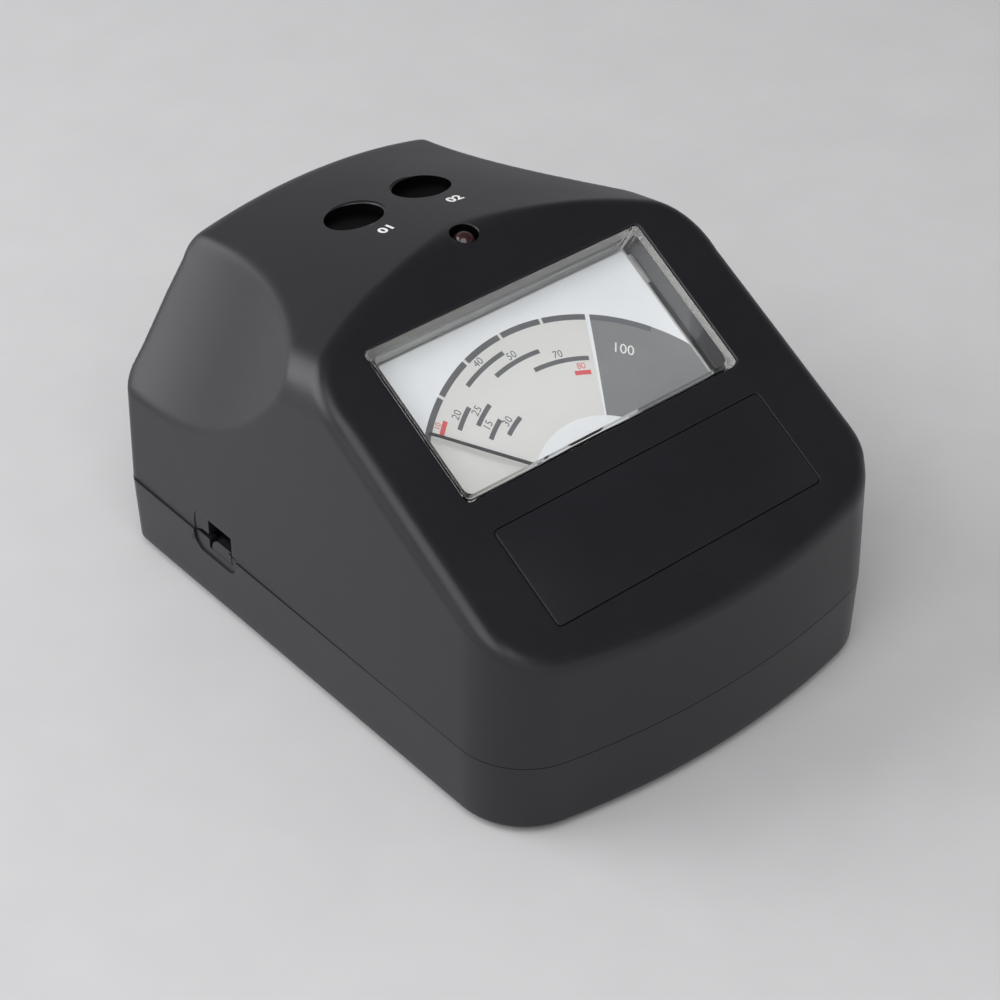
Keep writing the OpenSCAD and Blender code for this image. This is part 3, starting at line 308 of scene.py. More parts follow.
nodePaint = {
    "casePlastic": "upper_case base_cover battery_door", "footRubber": "rubber_feet", "platePlastic": "nameplate",
    "screwSteel": "case_screws retainer_screws meter_screws dial_screws pivot_spindles board_screws",
    "blackGlassAndShade": "glass_disc", "blackMetalAndShade": "metal_disc", "innerPlastic": "disc_retainer led_holder",
    "redLens": "indicator_led", "wireRed": "led_leads meter_leads", "clearCover": "meter_cover",
    "meterPlastic": "meter_body", "dialWhite": "dial_plate", "pointerPaint": "pointer", "coilWire": "moving_coil",
    "brass": "meter_terminals core_brackets front_bridge rear_bridge jewel_screws hairsprings",
    "magnet": "core_magnet yoke_ring", "boardGreen": "circuit_board", "chipBlack": "control_chip",
    "canMetal": "capacitors", "socketBlack": "probe_socket switch_slider", "switchMetal": "power_switch",
    "cellCase": "batteries", "contactSteel": "battery_plates battery_springs",
}


def paintNodes():
    painted = [(name, material) for material, names in nodePaint.items() for name in names.split()]
    for name, material in painted:
        nodes[name].data.materials.clear()
        nodes[name].data.materials.append(paint[material])
    print("materials on", len(painted), "of", len(nodes), "nodes")


# everything is drawn in millimetres and scaled once, in settle()
def draw(name, verts, faces):
    mesh = bpy.data.meshes.new(name)
    mesh.from_pydata([tuple(map(float, v)) for v in verts], [], faces)
    mesh.update()
    return addObject(name, mesh)


def turnOutwards(obj):
    bm = bmesh.new()
    bm.from_mesh(obj.data)
    bmesh.ops.remove_doubles(bm, verts=bm.verts, dist=1e-5)
    bmesh.ops.recalc_face_normals(bm, faces=bm.faces)
    bm.to_mesh(obj.data)
    bm.free()
    return obj


def loft(name, rings):
    count = len(rings[0])
    verts = [p for ring in rings for p in ring]
    faces = []
    for j in range(len(rings) - 1):
        for i in range(count):
            k = (i + 1) % count
            faces.append((j * count + i, j * count + k, (j + 1) * count + k, (j + 1) * count + i))
    faces.append(tuple(reversed(range(count))))
    faces.append(tuple(range((len(rings) - 1) * count, len(rings) * count)))
    return turnOutwards(draw(name, verts, faces))


def boxSolid(name, low, high, place=None):
    corners = [(low[0], low[1]), (high[0], low[1]), (high[0], high[1]), (low[0], high[1])]
    rings = [[(x, y, z) for x, y in corners] for z in (low[2], high[2])]
    return loft(name, [[place(p) for p in ring] for ring in rings] if place else rings)


def circle(radius, steps):
    turns = [2 * math.pi * i / steps for i in range(steps)]
    return [(radius * math.cos(a), radius * math.sin(a)) for a in turns]


def quarterTurn(steps, first=1):  # sine and cosine along a quarter of a circle
    turns = [math.radians(90 * i / steps) for i in range(first, steps + 1)]
    return [(math.sin(a), math.cos(a)) for a in turns]


def prism(name, shape, place, ends):  # a flat outline drawn out along the third direction of place
    return loft(name, [[place((a, b, out)) for a, b in shape] for out in ends])


def roundedRect(width, height, radius, steps=6):
    points = []
    for quarter, (sx, sy) in enumerate(((1, 1), (-1, 1), (-1, -1), (1, -1))):
        for i in range(steps + 1):
            a = math.radians(90 * quarter + 90 * i / steps)
            points.append((sx * (width / 2 - radius) + radius * math.cos(a),
                           sy * (height / 2 - radius) + radius * math.sin(a)))
    return points


def evaluated(obj):
    graph = bpy.context.evaluated_depsgraph_get()
    return bpy.data.meshes.new_from_object(obj.evaluated_get(graph), depsgraph=graph)


def bakeModifiers(obj):
    mesh = evaluated(obj)
    obj.modifiers.clear()
    old, obj.data = obj.data, mesh
    bpy.data.meshes.remove(old)
    return obj


def carve(target, solids, operation="DIFFERENCE"):
    for solid in solids:
        step = target.modifiers.new("carve", "BOOLEAN")
        step.operation, step.solver, step.object = operation, "MANIFOLD", solid
    bakeModifiers(target)
    for solid in solids:
        bpy.data.objects.remove(solid, do_unlink=True)
    return target


def settle(obj, material, body, stands=(), sharp=32.0):
    obj.data.transform(Matrix.Scale(mm, 4))
    obj.data.materials.clear()
    obj.data.materials.append(paint[material])
    obj.data.polygons.foreach_set("use_smooth", [True] * len(obj.data.polygons))
    obj.data.set_sharp_from_angle(angle=math.radians(sharp))
    obj.data.update()
    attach(obj, body)
    if stands:
        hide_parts(*stands)
    return obj


# one rounded field gives the outer skin, the inner skin and the seat of the labels
housing = {
    "width": 100.0, "length": 131.0, "partZ": 17.5, "wall": 2.5, "draft": 1.5, "bowR": 178.0, "frontR": 16.0,
    "rearR": 5.0, "edgeR": 3.5, "rearEdgeR": 5.0, "rearEdgeFrom": 30.0, "rearEdgeSpan": 20.0, "panelTilt": 30.0,
    "panelFrontZ": 38.3, "ridgeBack": 77.5, "ridgeR": 12.0, "deckTilt": 10.5, "crownR": 122.0, "shoulderR": 11.0,
    "scoopR": 104.0, "scoopX": 37.5, "scoopAhead": 2.0, "scoopZ": 57.6, "scoopClimb": 57.0, "scoopLean": 14.0,
    "scoopEdgeR": 2.0, "scoopTopR": 3.5, "scoopTopFrom": 58.0, "scoopTopSpan": 14.0,
    "gridX": 104, "gridY": 134, "gridZ": 54, "coreShare": 0.45,
    "seamHeights": (0.0, 0.06, 0.075, 0.12), "seamInsets": (0.5, 0.5, 0.0, 0.0),
}
frontY, rearY = -housing["length"] / 2, housing["length"] / 2
ridgeY = frontY + housing["ridgeBack"]
ridgeZ = housing["panelFrontZ"] + housing["ridgeBack"] * math.tan(math.radians(housing["panelTilt"]))


def cosSin(degrees):
    return math.cos(math.radians(degrees)), math.sin(math.radians(degrees))


def onPanel(p):
    c, s = cosSin(housing["panelTilt"])
    return (p[0], frontY + p[1] * c - p[2] * s, housing["panelFrontZ"] + p[1] * s + p[2] * c)


def panelLoft(name, width, height, radius, mid, profile):  # a rounded block or room drawn on the panel
    return loft(name, [[onPanel((x, mid + y, z)) for x, y in
                        roundedRect(width + 2 * g, height + 2 * g, radius + g, 5)] for z, g in profile])


wells = {"back": 24.5, "x": 8.65, "diameter": 12.2, "lip": 0.4, "depth": 14.0, "steps": 72, "slack": 0.02, "rim": 0.4}


def onDeck(p):
    c, s = cosSin(housing["deckTilt"])
    high = ridgeZ - wells["back"] * math.tan(math.radians(housing["deckTilt"]))
    return (p[0], ridgeY + wells["back"] + p[1] * c + p[2] * s, high - p[1] * s + p[2] * c)


def meet(first, second, radius):  # two faces joined by a round edge
    (a, na), (b, nb) = first, second
    a1, b1 = a + radius, b + radius
    c = np.clip((na * nb).sum(1), -0.999, 0.9995)
    whole = 1 - c * c
    toA, toB = (a1 - c * b1) / whole, (b1 - c * a1) / whole
    edge = (toA > 0) & (toB > 0) & (np.maximum(a1, b1) > 0)
    bend = np.sqrt(np.maximum(toA ** 2 + toB ** 2 + 2 * toA * toB * c, 1e-12))
    dist = np.where(edge, bend, np.maximum(a1, b1))
    blend = (toA[:, None] * na + toB[:, None] * nb) / bend[:, None]
    normal = np.where(edge[:, None], blend, np.where((a1 > b1)[:, None], na, nb))
    return dist - radius, normal


def hubDistance(across, up, hub, radius):
    dx, dy = across - hub[0], up - hub[1]
    far = np.maximum(np.hypot(dx, dy), 1e-9)
    return far - radius, dx / far, dy / far


def planHubs():  # middles of the bow, the front corner and the rear corner
    h = housing
    bowY, side = frontY + h["bowR"], h["width"] / 2 - h["frontR"]
    cornerY = bowY - math.sqrt((h["bowR"] - h["frontR"]) ** 2 - side ** 2)
    return (0.0, bowY), (side, cornerY), (h["width"] / 2 - h["rearR"], rearY - h["rearR"])


def wallDistance(p):
    h = housing
    ax, y, way = np.abs(p[:, 0]), p[:, 1], np.where(p[:, 0] < 0, -1.0, 1.0)
    half = h["width"] / 2
    (_, bowY), (side, cornerY), (rearX, rearC) = planHubs()
    bow = hubDistance(ax, y, (0.0, bowY), h["bowR"])
    front = hubDistance(ax, y, (side, cornerY), h["frontR"])
    rear = hubDistance(ax, y, (rearX, rearC), h["rearR"])
    inBow = ax * (bowY - cornerY) < side * (bowY - y)
    flatRear = (y - rearY) > (ax - half)
    zone = [(y < cornerY) & inBow, y < cornerY, (y > rearC) & (ax > rearX), flatRear]
    d = np.select(zone, [bow[0], front[0], rear[0], y - rearY], ax - half)
    nx = np.select(zone, [bow[1], front[1], rear[1], 0 * y], 1.0 + 0 * y)
    ny = np.select(zone, [bow[2], front[2], rear[2], 1.0 + 0 * y], 0 * y)
    lean = math.radians(h["draft"])
    d = (d + (p[:, 2] - h["partZ"]) * math.tan(lean)) * math.cos(lean)
    return d, np.stack([nx * way * math.cos(lean), ny * math.cos(lean), 0 * y + math.sin(lean)], 1)


def slopeDistance(p):  # panel, rounded ridge and deck, seen from the side
    h = housing
    up, back = math.radians(h["panelTilt"]), math.radians(h["deckTilt"])
    panelN, deckN = np.array([-math.sin(up), math.cos(up)]), np.array([math.sin(back), math.cos(back)])
    hub = np.array([ridgeY, ridgeZ]) - h["ridgeR"] * (panelN + deckN) / (1 + panelN @ deckN)
    q = p[:, 1:] - hub
    far = np.maximum(np.hypot(q[:, 0], q[:, 1]), 1e-9)
    onSlope = q @ np.array([math.cos(up), math.sin(up)]) <= 0
    behind = q @ np.array([math.cos(back), -math.sin(back)]) >= 0
    zone = [onSlope, behind]
    d = np.select(zone, [q @ panelN, q @ deckN], far) - h["ridgeR"]
    ny = np.select(zone, [0 * far + panelN[0], 0 * far + deckN[0]], q[:, 0] / far)
    nz = np.select(zone, [0 * far + panelN[1], 0 * far + deckN[1]], q[:, 1] / far)
    return d, np.stack([0 * far, ny, nz], 1)


def crownDistance(p):  # crowned deck with its shoulders, seen along the deck
    h = housing
    back, lean = math.radians(h["deckTilt"]), math.radians(h["draft"])
    ax, way = np.abs(p[:, 0]), np.where(p[:, 0] < 0, -1.0, 1.0)
    u = (p[:, 1] - ridgeY) * math.sin(back) + (p[:, 2] - ridgeZ) * math.cos(back)
    shoulderX = h["width"] / 2 - (ridgeZ - h["shoulderR"] - h["partZ"]) * math.tan(lean)
    hubX = shoulderX - h["shoulderR"]
    hubU = -h["crownR"] + math.sqrt((h["crownR"] - h["shoulderR"]) ** 2 - hubX ** 2)
    crown = hubDistance(ax, u, (0.0, -h["crownR"]), h["crownR"])
    turn = hubDistance(ax, u, (hubX, hubU), h["shoulderR"])
    wallD = (ax - hubX) * math.cos(lean) + (u - hubU) * math.sin(lean) - h["shoulderR"]
    inCrown = ax * (hubU + h["crownR"]) < hubX * (u + h["crownR"])
    below = (u - hubU) * math.cos(lean) < (ax - hubX) * math.sin(lean)
    zone = [inCrown, below]
    d = np.select(zone, [crown[0], wallD], turn[0])
    nx = np.select(zone, [crown[1], 0 * u + math.cos(lean)], turn[1]) * way
    nu = np.select(zone, [crown[2], 0 * u + math.sin(lean)], turn[2])
    return d, np.stack([nx, nu * math.sin(back), nu * math.cos(back)], 1)


def scoopDistance(p):
    h = housing
    spin = (Matrix.Rotation(math.radians(h["scoopClimb"] - 90), 3, "Y")
            @ Matrix.Rotation(math.radians(-h["scoopLean"]), 3, "X"))
    axis = np.array(spin @ Vector((0, 0, 1)))
    start = np.array([h["scoopX"], rearY - h["scoopAhead"], h["scoopZ"]])
    hub = start + np.array(spin @ Vector((h["scoopR"], 0, 0)))
    way = np.where(p[:, 0] < 0, -1.0, 1.0)
    v = np.stack([np.abs(p[:, 0]), p[:, 1], p[:, 2]], 1) - hub
    v = v - (v @ axis)[:, None] * axis
    far = np.maximum(np.linalg.norm(v, axis=1), 1e-9)
    n = -v / far[:, None]
    return h["scoopR"] - far, np.stack([n[:, 0] * way, n[:, 1], n[:, 2]], 1)


def skinDistance(p):
    h = housing
    top = meet(slopeDistance(p), crownDistance(p), h["edgeR"])
    # the edge rolls wider towards the rear, and the scoop's edge towards the top
    nearRear = np.clip((p[:, 1] - (rearY - h["rearEdgeFrom"])) / h["rearEdgeSpan"], 0, 1)
    whole = meet(top, wallDistance(p), h["edgeR"] + (h["rearEdgeR"] - h["edgeR"]) * nearRear)
    nearTop = np.clip((p[:, 2] - h["scoopTopFrom"]) / h["scoopTopSpan"], 0, 1)
    return meet(whole, scoopDistance(p), h["scoopEdgeR"] + (h["scoopTopR"] - h["scoopEdgeR"]) * nearTop)


def reach(origin, aim, level, far=2.0, rounds=36):  # where a ray from inside meets the skin, or a layer below it
    low, high = np.zeros(len(aim)), np.full(len(aim), far)
    for _ in range(rounds):
        mid = (low + high) / 2
        inside = skinDistance(origin + mid[:, None] * (aim - origin))[0] < level
        low, high = np.where(inside, mid, low), np.where(inside, high, mid)
    return origin + high[:, None] * (aim - origin)


def shellGrid():
    h = housing
    nx, ny, nz, core = h["gridX"], h["gridY"], h["gridZ"], h["coreShare"]
    xs = np.linspace(-h["width"] / 2, h["width"] / 2, nx + 1)
    ys = np.linspace(frontY, rearY, ny + 1)
    loop = ([(i, 0) for i in range(nx)] + [(nx, i) for i in range(ny)]
            + [(nx - i, ny) for i in range(nx)] + [(0, ny - i) for i in range(ny)])
    ring = len(loop)

    def roof(y):
        slope = h["panelFrontZ"] + (y - frontY) * math.tan(math.radians(h["panelTilt"]))
        deck = ridgeZ - (y - ridgeY) * math.tan(math.radians(h["deckTilt"]))
        return min(slope, deck)

    origin, aim, level = [], [], []
    seam = len(h["seamHeights"])
    rows = seam + nz
    for j in range(rows):
        for i, k in loop:
            x, y = xs[i], ys[k]
            tall = roof(y) - h["partZ"]
            if j < seam:
                z, share, deep = h["partZ"] + h["seamHeights"][j], 0.0, -h["seamInsets"][j]
            else:
                share, deep = (j - seam + 1) / nz, 0.0
                z = h["partZ"] + h["seamHeights"][-1] + (tall - h["seamHeights"][-1]) * share
            origin.append((core * x, core * y, h["partZ"] + (z - h["partZ"]) * (1 - share ** 2)))
            aim.append((x, y, z))
            level.append(deep)
    inside = {}
    for i in range(1, nx):
        for k in range(1, ny):
            inside[(i, k)] = len(aim)
            origin.append((core * xs[i], core * ys[k], h["partZ"]))
            aim.append((xs[i], ys[k], roof(ys[k])))
            level.append(0.0)
    top = {spot: (rows - 1) * ring + n for n, spot in enumerate(loop)}
    top.update(inside)
    faces = [(j * ring + n, j * ring + (n + 1) % ring, (j + 1) * ring + (n + 1) % ring, (j + 1) * ring + n)
             for j in range(rows - 1) for n in range(ring)]
    faces += [(top[(i, k)], top[(i + 1, k)], top[(i + 1, k + 1)], top[(i, k + 1)])
              for i in range(nx) for k in range(ny)]
    return np.array(origin), np.array(aim), np.array(level), faces, ring


def lipRings(outline, place, low, lip, surface=0.0):  # rings of a cutter whose mouth is rounded over by lip
    above, flare, skim = 4.0, 0.02, 0.01
    profile = [(surface + above, lip + above * flare), (surface + skim, lip)]
    profile += [(surface - lip * (1 - c), lip * (1 - s)) for s, c in quarterTurn(5)]
    profile.append((low, 0.0))
    return [[place((x, y, z)) for x, y in outline(wider)] for z, wider in profile]


clearOf = 1.0  # cutters stand proud of the walls by this
window = {"width": 69.3, "height": 35.3, "mid": 58.2, "radius": 1.2, "lip": 0.45, "low": -9.2,
          "skirtT": 0.9, "skirtLow": -8.0, "skirtTop": -1.5}
plateSeat = {"width": 67.8, "height": 21.9, "mid": 22.85, "radius": 1.2, "lip": 0.12, "low": -0.8}
lampHole = {"y": 12.4, "diameter": 5.8, "lip": 0.35, "rimZ": 82.30, "slope": 0.149, "slopeTo": -2.0, "low": 66.0,
            "steps": 48}
socketCut = {"y": 32.8, "low": 13.3, "high": 23.4, "width": 14.6, "radius": 3.0, "depth": 0.55, "lip": 0.1,
             "surface": -0.06, "mouthY": 31.25, "mouthW": 7.9, "mouthLow": 15.3, "mouthHigh": 22.4, "mouthR": 0.3,
             "through": -6.0, "tongueFront": 27.7, "tongueRear": 34.4, "tongueFoot": 14.0, "tongueTop": 18.5,
             "tongueBend": 2.8, "tongueOut": (-0.6, -2.4), "gapFar": 39.9, "gapMid": 37.6, "gapNear": 35.0,
             "gapTop": 18.8, "gapLap": 0.05, "gapRise": 0.1, "slitFront": 25.8, "slitRear": 28.4,
             "slitLow": (-0.15, 0.15), "slitHigh": (0.1, 0.65)}
switchCut = {"z": 26.55, "width": 16.0, "height": 8.0, "radius": 2.0, "depth": 1.3, "lip": 0.3,
             "slotW": 8.2, "slotH": 3.6, "slotR": 0.3, "through": -6.0}


def rectOutline(width, height, radius, mid=(0.0, 0.0)):
    return lambda wider: [(x + mid[0], y + mid[1]) for x, y in
                          roundedRect(width + 2 * wider, height + 2 * wider, radius + wider)]


def rectCut(name, d, place, mid, low, surface=0.0):  # a rounded rectangle with a lip
    outline = rectOutline(d["width"], d["height"], d["radius"], mid)
    return loft(name, lipRings(outline, place, low, d["lip"], surface))


def onLeftWall(p):  # p is along the wall, up, and out of it
    return (-housing["width"] / 2 - p[2], p[0], p[1])


def onRearWall(p):
    return (p[0], rearY + p[2], p[1])


def socketCutters():
    s = socketCut
    pocketSize = {**s, "height": s["high"] - s["low"]}
    pocket = rectCut("pocketCut", pocketSize, onLeftWall, (s["y"], (s["low"] + s["high"]) / 2), -s["depth"],
                     s["surface"])
    mouth = rectOutline(s["mouthW"], s["mouthHigh"] - s["mouthLow"], s["mouthR"],
                        (s["mouthY"], (s["mouthHigh"] + s["mouthLow"]) / 2))
    return [pocket, prism("mouthCut", mouth(0.0), onLeftWall, (clearOf, s["through"]))]


def gapCutters():  # the parting line opens beside the mouth
    s, part = socketCut, housing["partZ"]
    wedge = [(s["gapNear"], part - s["gapLap"]), (s["gapFar"], part - s["gapLap"]),
             (s["gapFar"], part + s["gapRise"]), (s["gapMid"], s["gapTop"] - s["gapRise"]),
             (s["gapNear"], s["gapTop"])]
    slit = [(s["slitFront"], part + s["slitLow"][0]), (s["slitRear"], part + s["slitLow"][1]),
            (s["slitRear"], part + s["slitHigh"][1]), (s["slitFront"], part + s["slitHigh"][0])]
    return [prism("gapCut", shape, onLeftWall, (clearOf, s["through"])) for shape in (wedge, slit)]


def makeTongue():  # round-shouldered tongue of the base that stands in the mouth
    s = socketCut
    rise = [(s["tongueFront"], s["tongueFoot"]), (s["tongueRear"], s["tongueFoot"])]
    rise += [(s["tongueRear"] - s["tongueBend"] * (1 - c), s["tongueTop"] - s["tongueBend"] * (1 - up))
             for up, c in quarterTurn(8, 0)]
    rise.append((s["tongueFront"], s["tongueTop"]))
    return prism("tongue", rise, onLeftWall, s["tongueOut"])


def shellCutters():
    w, l, s = wells, lampHole, switchCut
    cuts = [rectCut(name, d, onPanel, (0, d["mid"]), d["low"])
            for name, d in (("windowCut", window), ("plateCut", plateSeat))]
    for side in (-1, 1):
        x, r = side * w["x"], w["diameter"] / 2
        sink = -x * x / (2 * housing["crownR"])
        cuts.append(loft("wellCut", lipRings(lambda wider: [(x + a, b) for a, b in circle(r + wider, w["steps"])],
                                             onDeck, -w["depth"], w["lip"], sink)))
    lamp = lipRings(lambda wider: circle(l["diameter"] / 2 + wider, l["steps"]), lambda p: p, l["low"] - l["rimZ"],
                    l["lip"])
    cuts.append(loft("lampCut", [[(x, l["y"] + y, l["rimZ"] + z + (l["slope"] * y if z > l["slopeTo"] else 0))
                                  for x, y, z in ring] for ring in lamp]))
    rearLean = (s["z"] - housing["partZ"]) * math.tan(math.radians(housing["draft"]))
    cuts.append(rectCut("fingerCut", s, onRearWall, (0, s["z"]), -s["depth"], -rearLean))
    slot = rectOutline(s["slotW"], s["slotH"], s["slotR"], (0, s["z"]))
    cuts.append(prism("slotCut", slot(0.0), onRearWall, (clearOf, s["through"])))
    return cuts + socketCutters() + gapCutters()


def paintHoleShade(shell):  # painted shade: the walls of the wells and of the lamp's hole are painted near-black and almost unreflecting below their rims, standing in for the shade inside them
    shell.data.materials.append(paint["holeShadePaint"])
    w, l, hub = wells, lampHole, np.array(onDeck((0, 0, 0)))
    across, along, out = (np.array(onDeck(p)) - hub for p in ((1, 0, 0), (0, 1, 0), (0, 0, 1)))
    for face in shell.data.polygons:
        p = np.array(face.center) / mm
        q = p - hub
        fromWell = math.hypot(abs(q @ across) - w["x"], q @ along)
        inWell = fromWell < w["diameter"] / 2 + w["slack"] and q @ out < -w["rim"]
        fromLamp = math.hypot(p[0], p[1] - l["y"])
        inLamp = fromLamp < l["diameter"] / 2 + w["slack"] and p[2] < l["rimZ"] - w["rim"]
        # faces inside the holes take the painted shade
        if inWell or inLamp:
            face.material_index = 1


def makeUpperShell():
    origin, aim, level, faces, ring = shellGrid()
    outer, inner = reach(origin, aim, level), reach(origin, aim, -housing["wall"] + 0 * level)
    count = len(outer)
    faces = faces + [tuple(count + v for v in reversed(face)) for face in faces]
    faces += [(n, count + n, count + (n + 1) % ring, (n + 1) % ring) for n in range(ring)]
    shell = draw("upperShell", np.concatenate([outer, inner]), faces)
    w = window
    half, tall = w["width"] / 2, w["height"] / 2
    skirts = []
    for side in (-1, 1):
        left, right = sorted((side * half, side * (half + w["skirtT"])))
        skirts.append(boxSolid("skirt", (left, w["mid"] - tall, w["skirtLow"]),
                               (right, w["mid"] + tall, w["skirtTop"]), onPanel))
    carve(shell, skirts, "UNION")  # dark walls beside the clear cover
    carve(shell, shellCutters())
    print("upper shell:", len(shell.data.polygons), "faces")
    settle(shell, "casePlastic", "housing", ["upper_case"])
    paintHoleShade(shell)


base = {"bottom": 1.5, "narrowing": 0.5, "edgeR": 1.0, "sideSteps": 8, "edgeSteps": 6, "coarse": (24, 8, 12),
        "floor": 4.0, "lap": 0.5, "lipH": 2.0, "lipT": 1.3, "lipStep": 0.01, "lipBite": 0.3, "fit": 0.2,
        "posts": [(-39, -51), (39, -51), (-39, 55), (39, 55)], "postR": 4.0, "headR": 2.975, "headZ": 8.5,
        "boreR": 1.7, "boardPosts": [(-38, -22), (38, -22), (-20, 50), (20, 50)], "boardPostR": 3.2, "boardZ": 22.2,
        "boardBoreR": 1.05, "boardBoreL": 7.4, "footR": 5.7, "footSunk": 1.0,
        "feet": [(-37, -36.5), (37, -36.5), (-37, 36.5), (37, 36.5)],
        "boxX": 25.5, "boxHalf": 18.05, "boxY": 13.0, "boxTop": 15.4, "boxWall": 1.5, "ledge": 1.4, "doorT": 2.0,
        "tabY": 11.7, "tabHalf": (0.6, 2.2), "tabSpan": (-1, 3),
        "socketRoom": ((-47.5, 26.7, 13.6), (-35.3, 39.3, 22.2))}


def planOutline(inset, bowSteps=70, cornerSteps=16, sideSteps=50):
    h = housing
    (_, bowY), (side, cornerY), (rearX, rearC) = planHubs()
    turn = math.atan2(cornerY - bowY, side)

    def arc(hub, radius, start, end, steps):
        return [(hub[0] + radius * math.cos(start + (end - start) * i / steps),
                 hub[1] + radius * math.sin(start + (end - start) * i / steps)) for i in range(steps + 1)]

    def line(start, end, steps):
        return [(start[0] + (end[0] - start[0]) * i / steps, start[1] + (end[1] - start[1]) * i / steps)
                for i in range(1, steps)]

    right = arc((side, cornerY), h["frontR"] - inset, turn, 0, cornerSteps)
    rearRight = arc((rearX, rearC), h["rearR"] - inset, 0, math.pi / 2, cornerSteps)
    rearLeft = arc((-rearX, rearC), h["rearR"] - inset, math.pi / 2, math.pi, cornerSteps)
    left = arc((-side, cornerY), h["frontR"] - inset, math.pi, math.pi - turn, cornerSteps)
    bow = arc((0, bowY), h["bowR"] - inset, -math.pi - turn, turn, bowSteps)[1:-1]
    return (bow + right + line(right[-1], rearRight[0], sideSteps) + rearRight
            + line(rearRight[-1], rearLeft[0], sideSteps) + rearLeft + line(rearLeft[-1], left[0], sideSteps) + left)


def planLoft(name, profile, *steps):
    return loft(name, [[(x, y, z) for x, y in planOutline(inset, *steps)] for z, inset in profile])


def tube(name, place, low, high, radius, steps=48):
    return prism(name, circle(radius, steps), lambda p: (place[0] + p[0], place[1] + p[1], p[2]), (low, high))


def batteryRoom(name, x, y, low, high):  # a box about the middle of the battery bay
    return boxSolid(name, (-x, base["boxY"] - y, low), (x, base["boxY"] + y, high))


def makeLip():  # rim of the base that stands inside the upper shell
    b, part, wall = base, housing["partZ"], housing["wall"]
    outer, inner, bite = wall + b["fit"], wall + b["fit"] + b["lipT"], wall - b["lipBite"]
    lip = planLoft("lip", [(part + b["lipH"], outer), (part - b["lipStep"], outer), (part - 2 * b["lipStep"], bite),
                           (part - b["lipH"], bite)], *b["coarse"])
    far = b["lipH"] + clearOf
    return carve(lip, [planLoft("lipHole", [(part + far, inner), (part - far, inner)], *b["coarse"])])


def makeBaseShell():
    b, h = base, housing
    profile = [(h["partZ"] - up, inset) for up, inset in zip(h["seamHeights"], h["seamInsets"])]
    high, steps = h["partZ"] - h["seamHeights"][-1], b["sideSteps"]
    straight = high - b["bottom"] - b["edgeR"]
    profile += [(high - straight * i / steps, b["narrowing"] * i / steps) for i in range(1, steps + 1)]
    profile += [(b["bottom"] + b["edgeR"] * (1 - s), b["narrowing"] + b["edgeR"] * (1 - c))
                for s, c in quarterTurn(b["edgeSteps"])]
    shell = planLoft("baseShell", profile)
    room = [(h["partZ"] + clearOf, h["wall"]), (b["floor"], h["wall"] + b["narrowing"])]
    carve(shell, [planLoft("hollow", room, *b["coarse"])])
    low = b["floor"] - b["lap"]
    adds = [makeLip()]
    adds += [tube("casePost", p, low, h["partZ"], b["postR"]) for p in b["posts"]]
    adds += [tube("boardPost", p, low, b["boardZ"], b["boardPostR"]) for p in b["boardPosts"]]
    adds.append(batteryRoom("batteryBox", b["boxX"] + b["boxWall"], b["boxHalf"] + b["boxWall"], low,
                            b["boxTop"] + b["boxWall"]))
    carve(shell, adds, "UNION")
    boreLow, boreHigh = b["boardZ"] - b["boardBoreL"], b["boardZ"] + clearOf
    cuts = [tube("headCut", p, 0, b["headZ"], b["headR"]) for p in b["posts"]]
    cuts += [tube("boreCut", p, 0, h["partZ"] + clearOf, b["boreR"]) for p in b["posts"]]
    cuts += [tube("footCut", p, 0, b["bottom"] + b["footSunk"], b["footR"]) for p in b["feet"]]
    cuts += [tube("boardBore", p, boreLow, boreHigh, b["boardBoreR"]) for p in b["boardPosts"]]
    cuts.append(batteryRoom("boxCut", b["boxX"], b["boxHalf"], 0, b["boxTop"]))
    cuts.append(batteryRoom("doorCut", b["boxX"] + b["ledge"] + b["fit"], b["boxHalf"] + b["ledge"] + b["fit"], 0,
                            b["bottom"] + b["doorT"]))
    (tabX, tabY), (tabLow, tabHigh) = b["tabHalf"], b["tabSpan"]
    for side in (1, -1):
        x, y = side * b["boxX"], b["boxY"] - side * b["tabY"]
        cuts.append(boxSolid("tabCut", (x - tabX, y - tabY, b["boxTop"] + tabLow),
                             (x + tabX, y + tabY, b["boxTop"] + tabHigh)))
    cuts.append(boxSolid("socketRoom", *b["socketRoom"]))
    carve(shell, cuts + socketCutters())
    carve(shell, [makeTongue()], "UNION")
    carve(shell, gapCutters())
    print("base shell:", len(shell.data.polygons), "faces")
    settle(shell, "casePlastic", "housing", ["base_cover"])


def nodeTree(name, **inputs):
    tree = bpy.data.node_groups.new(name, "GeometryNodeTree")
    for way in ("INPUT", "OUTPUT"):
        tree.interface.new_socket("Geometry", in_out=way, socket_type="NodeSocketGeometry")
    for label, kind in inputs.items():
        tree.interface.new_socket(label, in_out="INPUT", socket_type="NodeSocket" + kind)
    return tree, tree.nodes.new("NodeGroupInput").outputs


def grow(obj, tree, **values):  # sets the tree's inputs by identifier, then bakes the result to a plain mesh
    step = obj.modifiers.new(tree.name, "NODES")
    step.node_group = tree
    for item in tree.interface.items_tree:
        if item.item_type == "SOCKET" and item.in_out == "INPUT" and item.name in values:
            step[item.identifier] = values[item.name]
    obj.update_tag()
    return bakeModifiers(obj)


def realCopies(tree, points, piece, **more):
    copies = addLinked(tree, "GeometryNodeInstanceOnPoints", Points=points, Instance=piece, **more)
    return addLinked(tree, "GeometryNodeRealizeInstances", Geometry=copies.outputs["Instances"]).outputs["Geometry"]


def handOver(tree, given, geometry):  # paints the geometry and ends the tree
    dress = addLinked(tree, "GeometryNodeSetMaterial", Geometry=geometry, Material=given["Paint"])
    addLinked(tree, "NodeGroupOutput", Geometry=dress.outputs["Geometry"])
    return tree


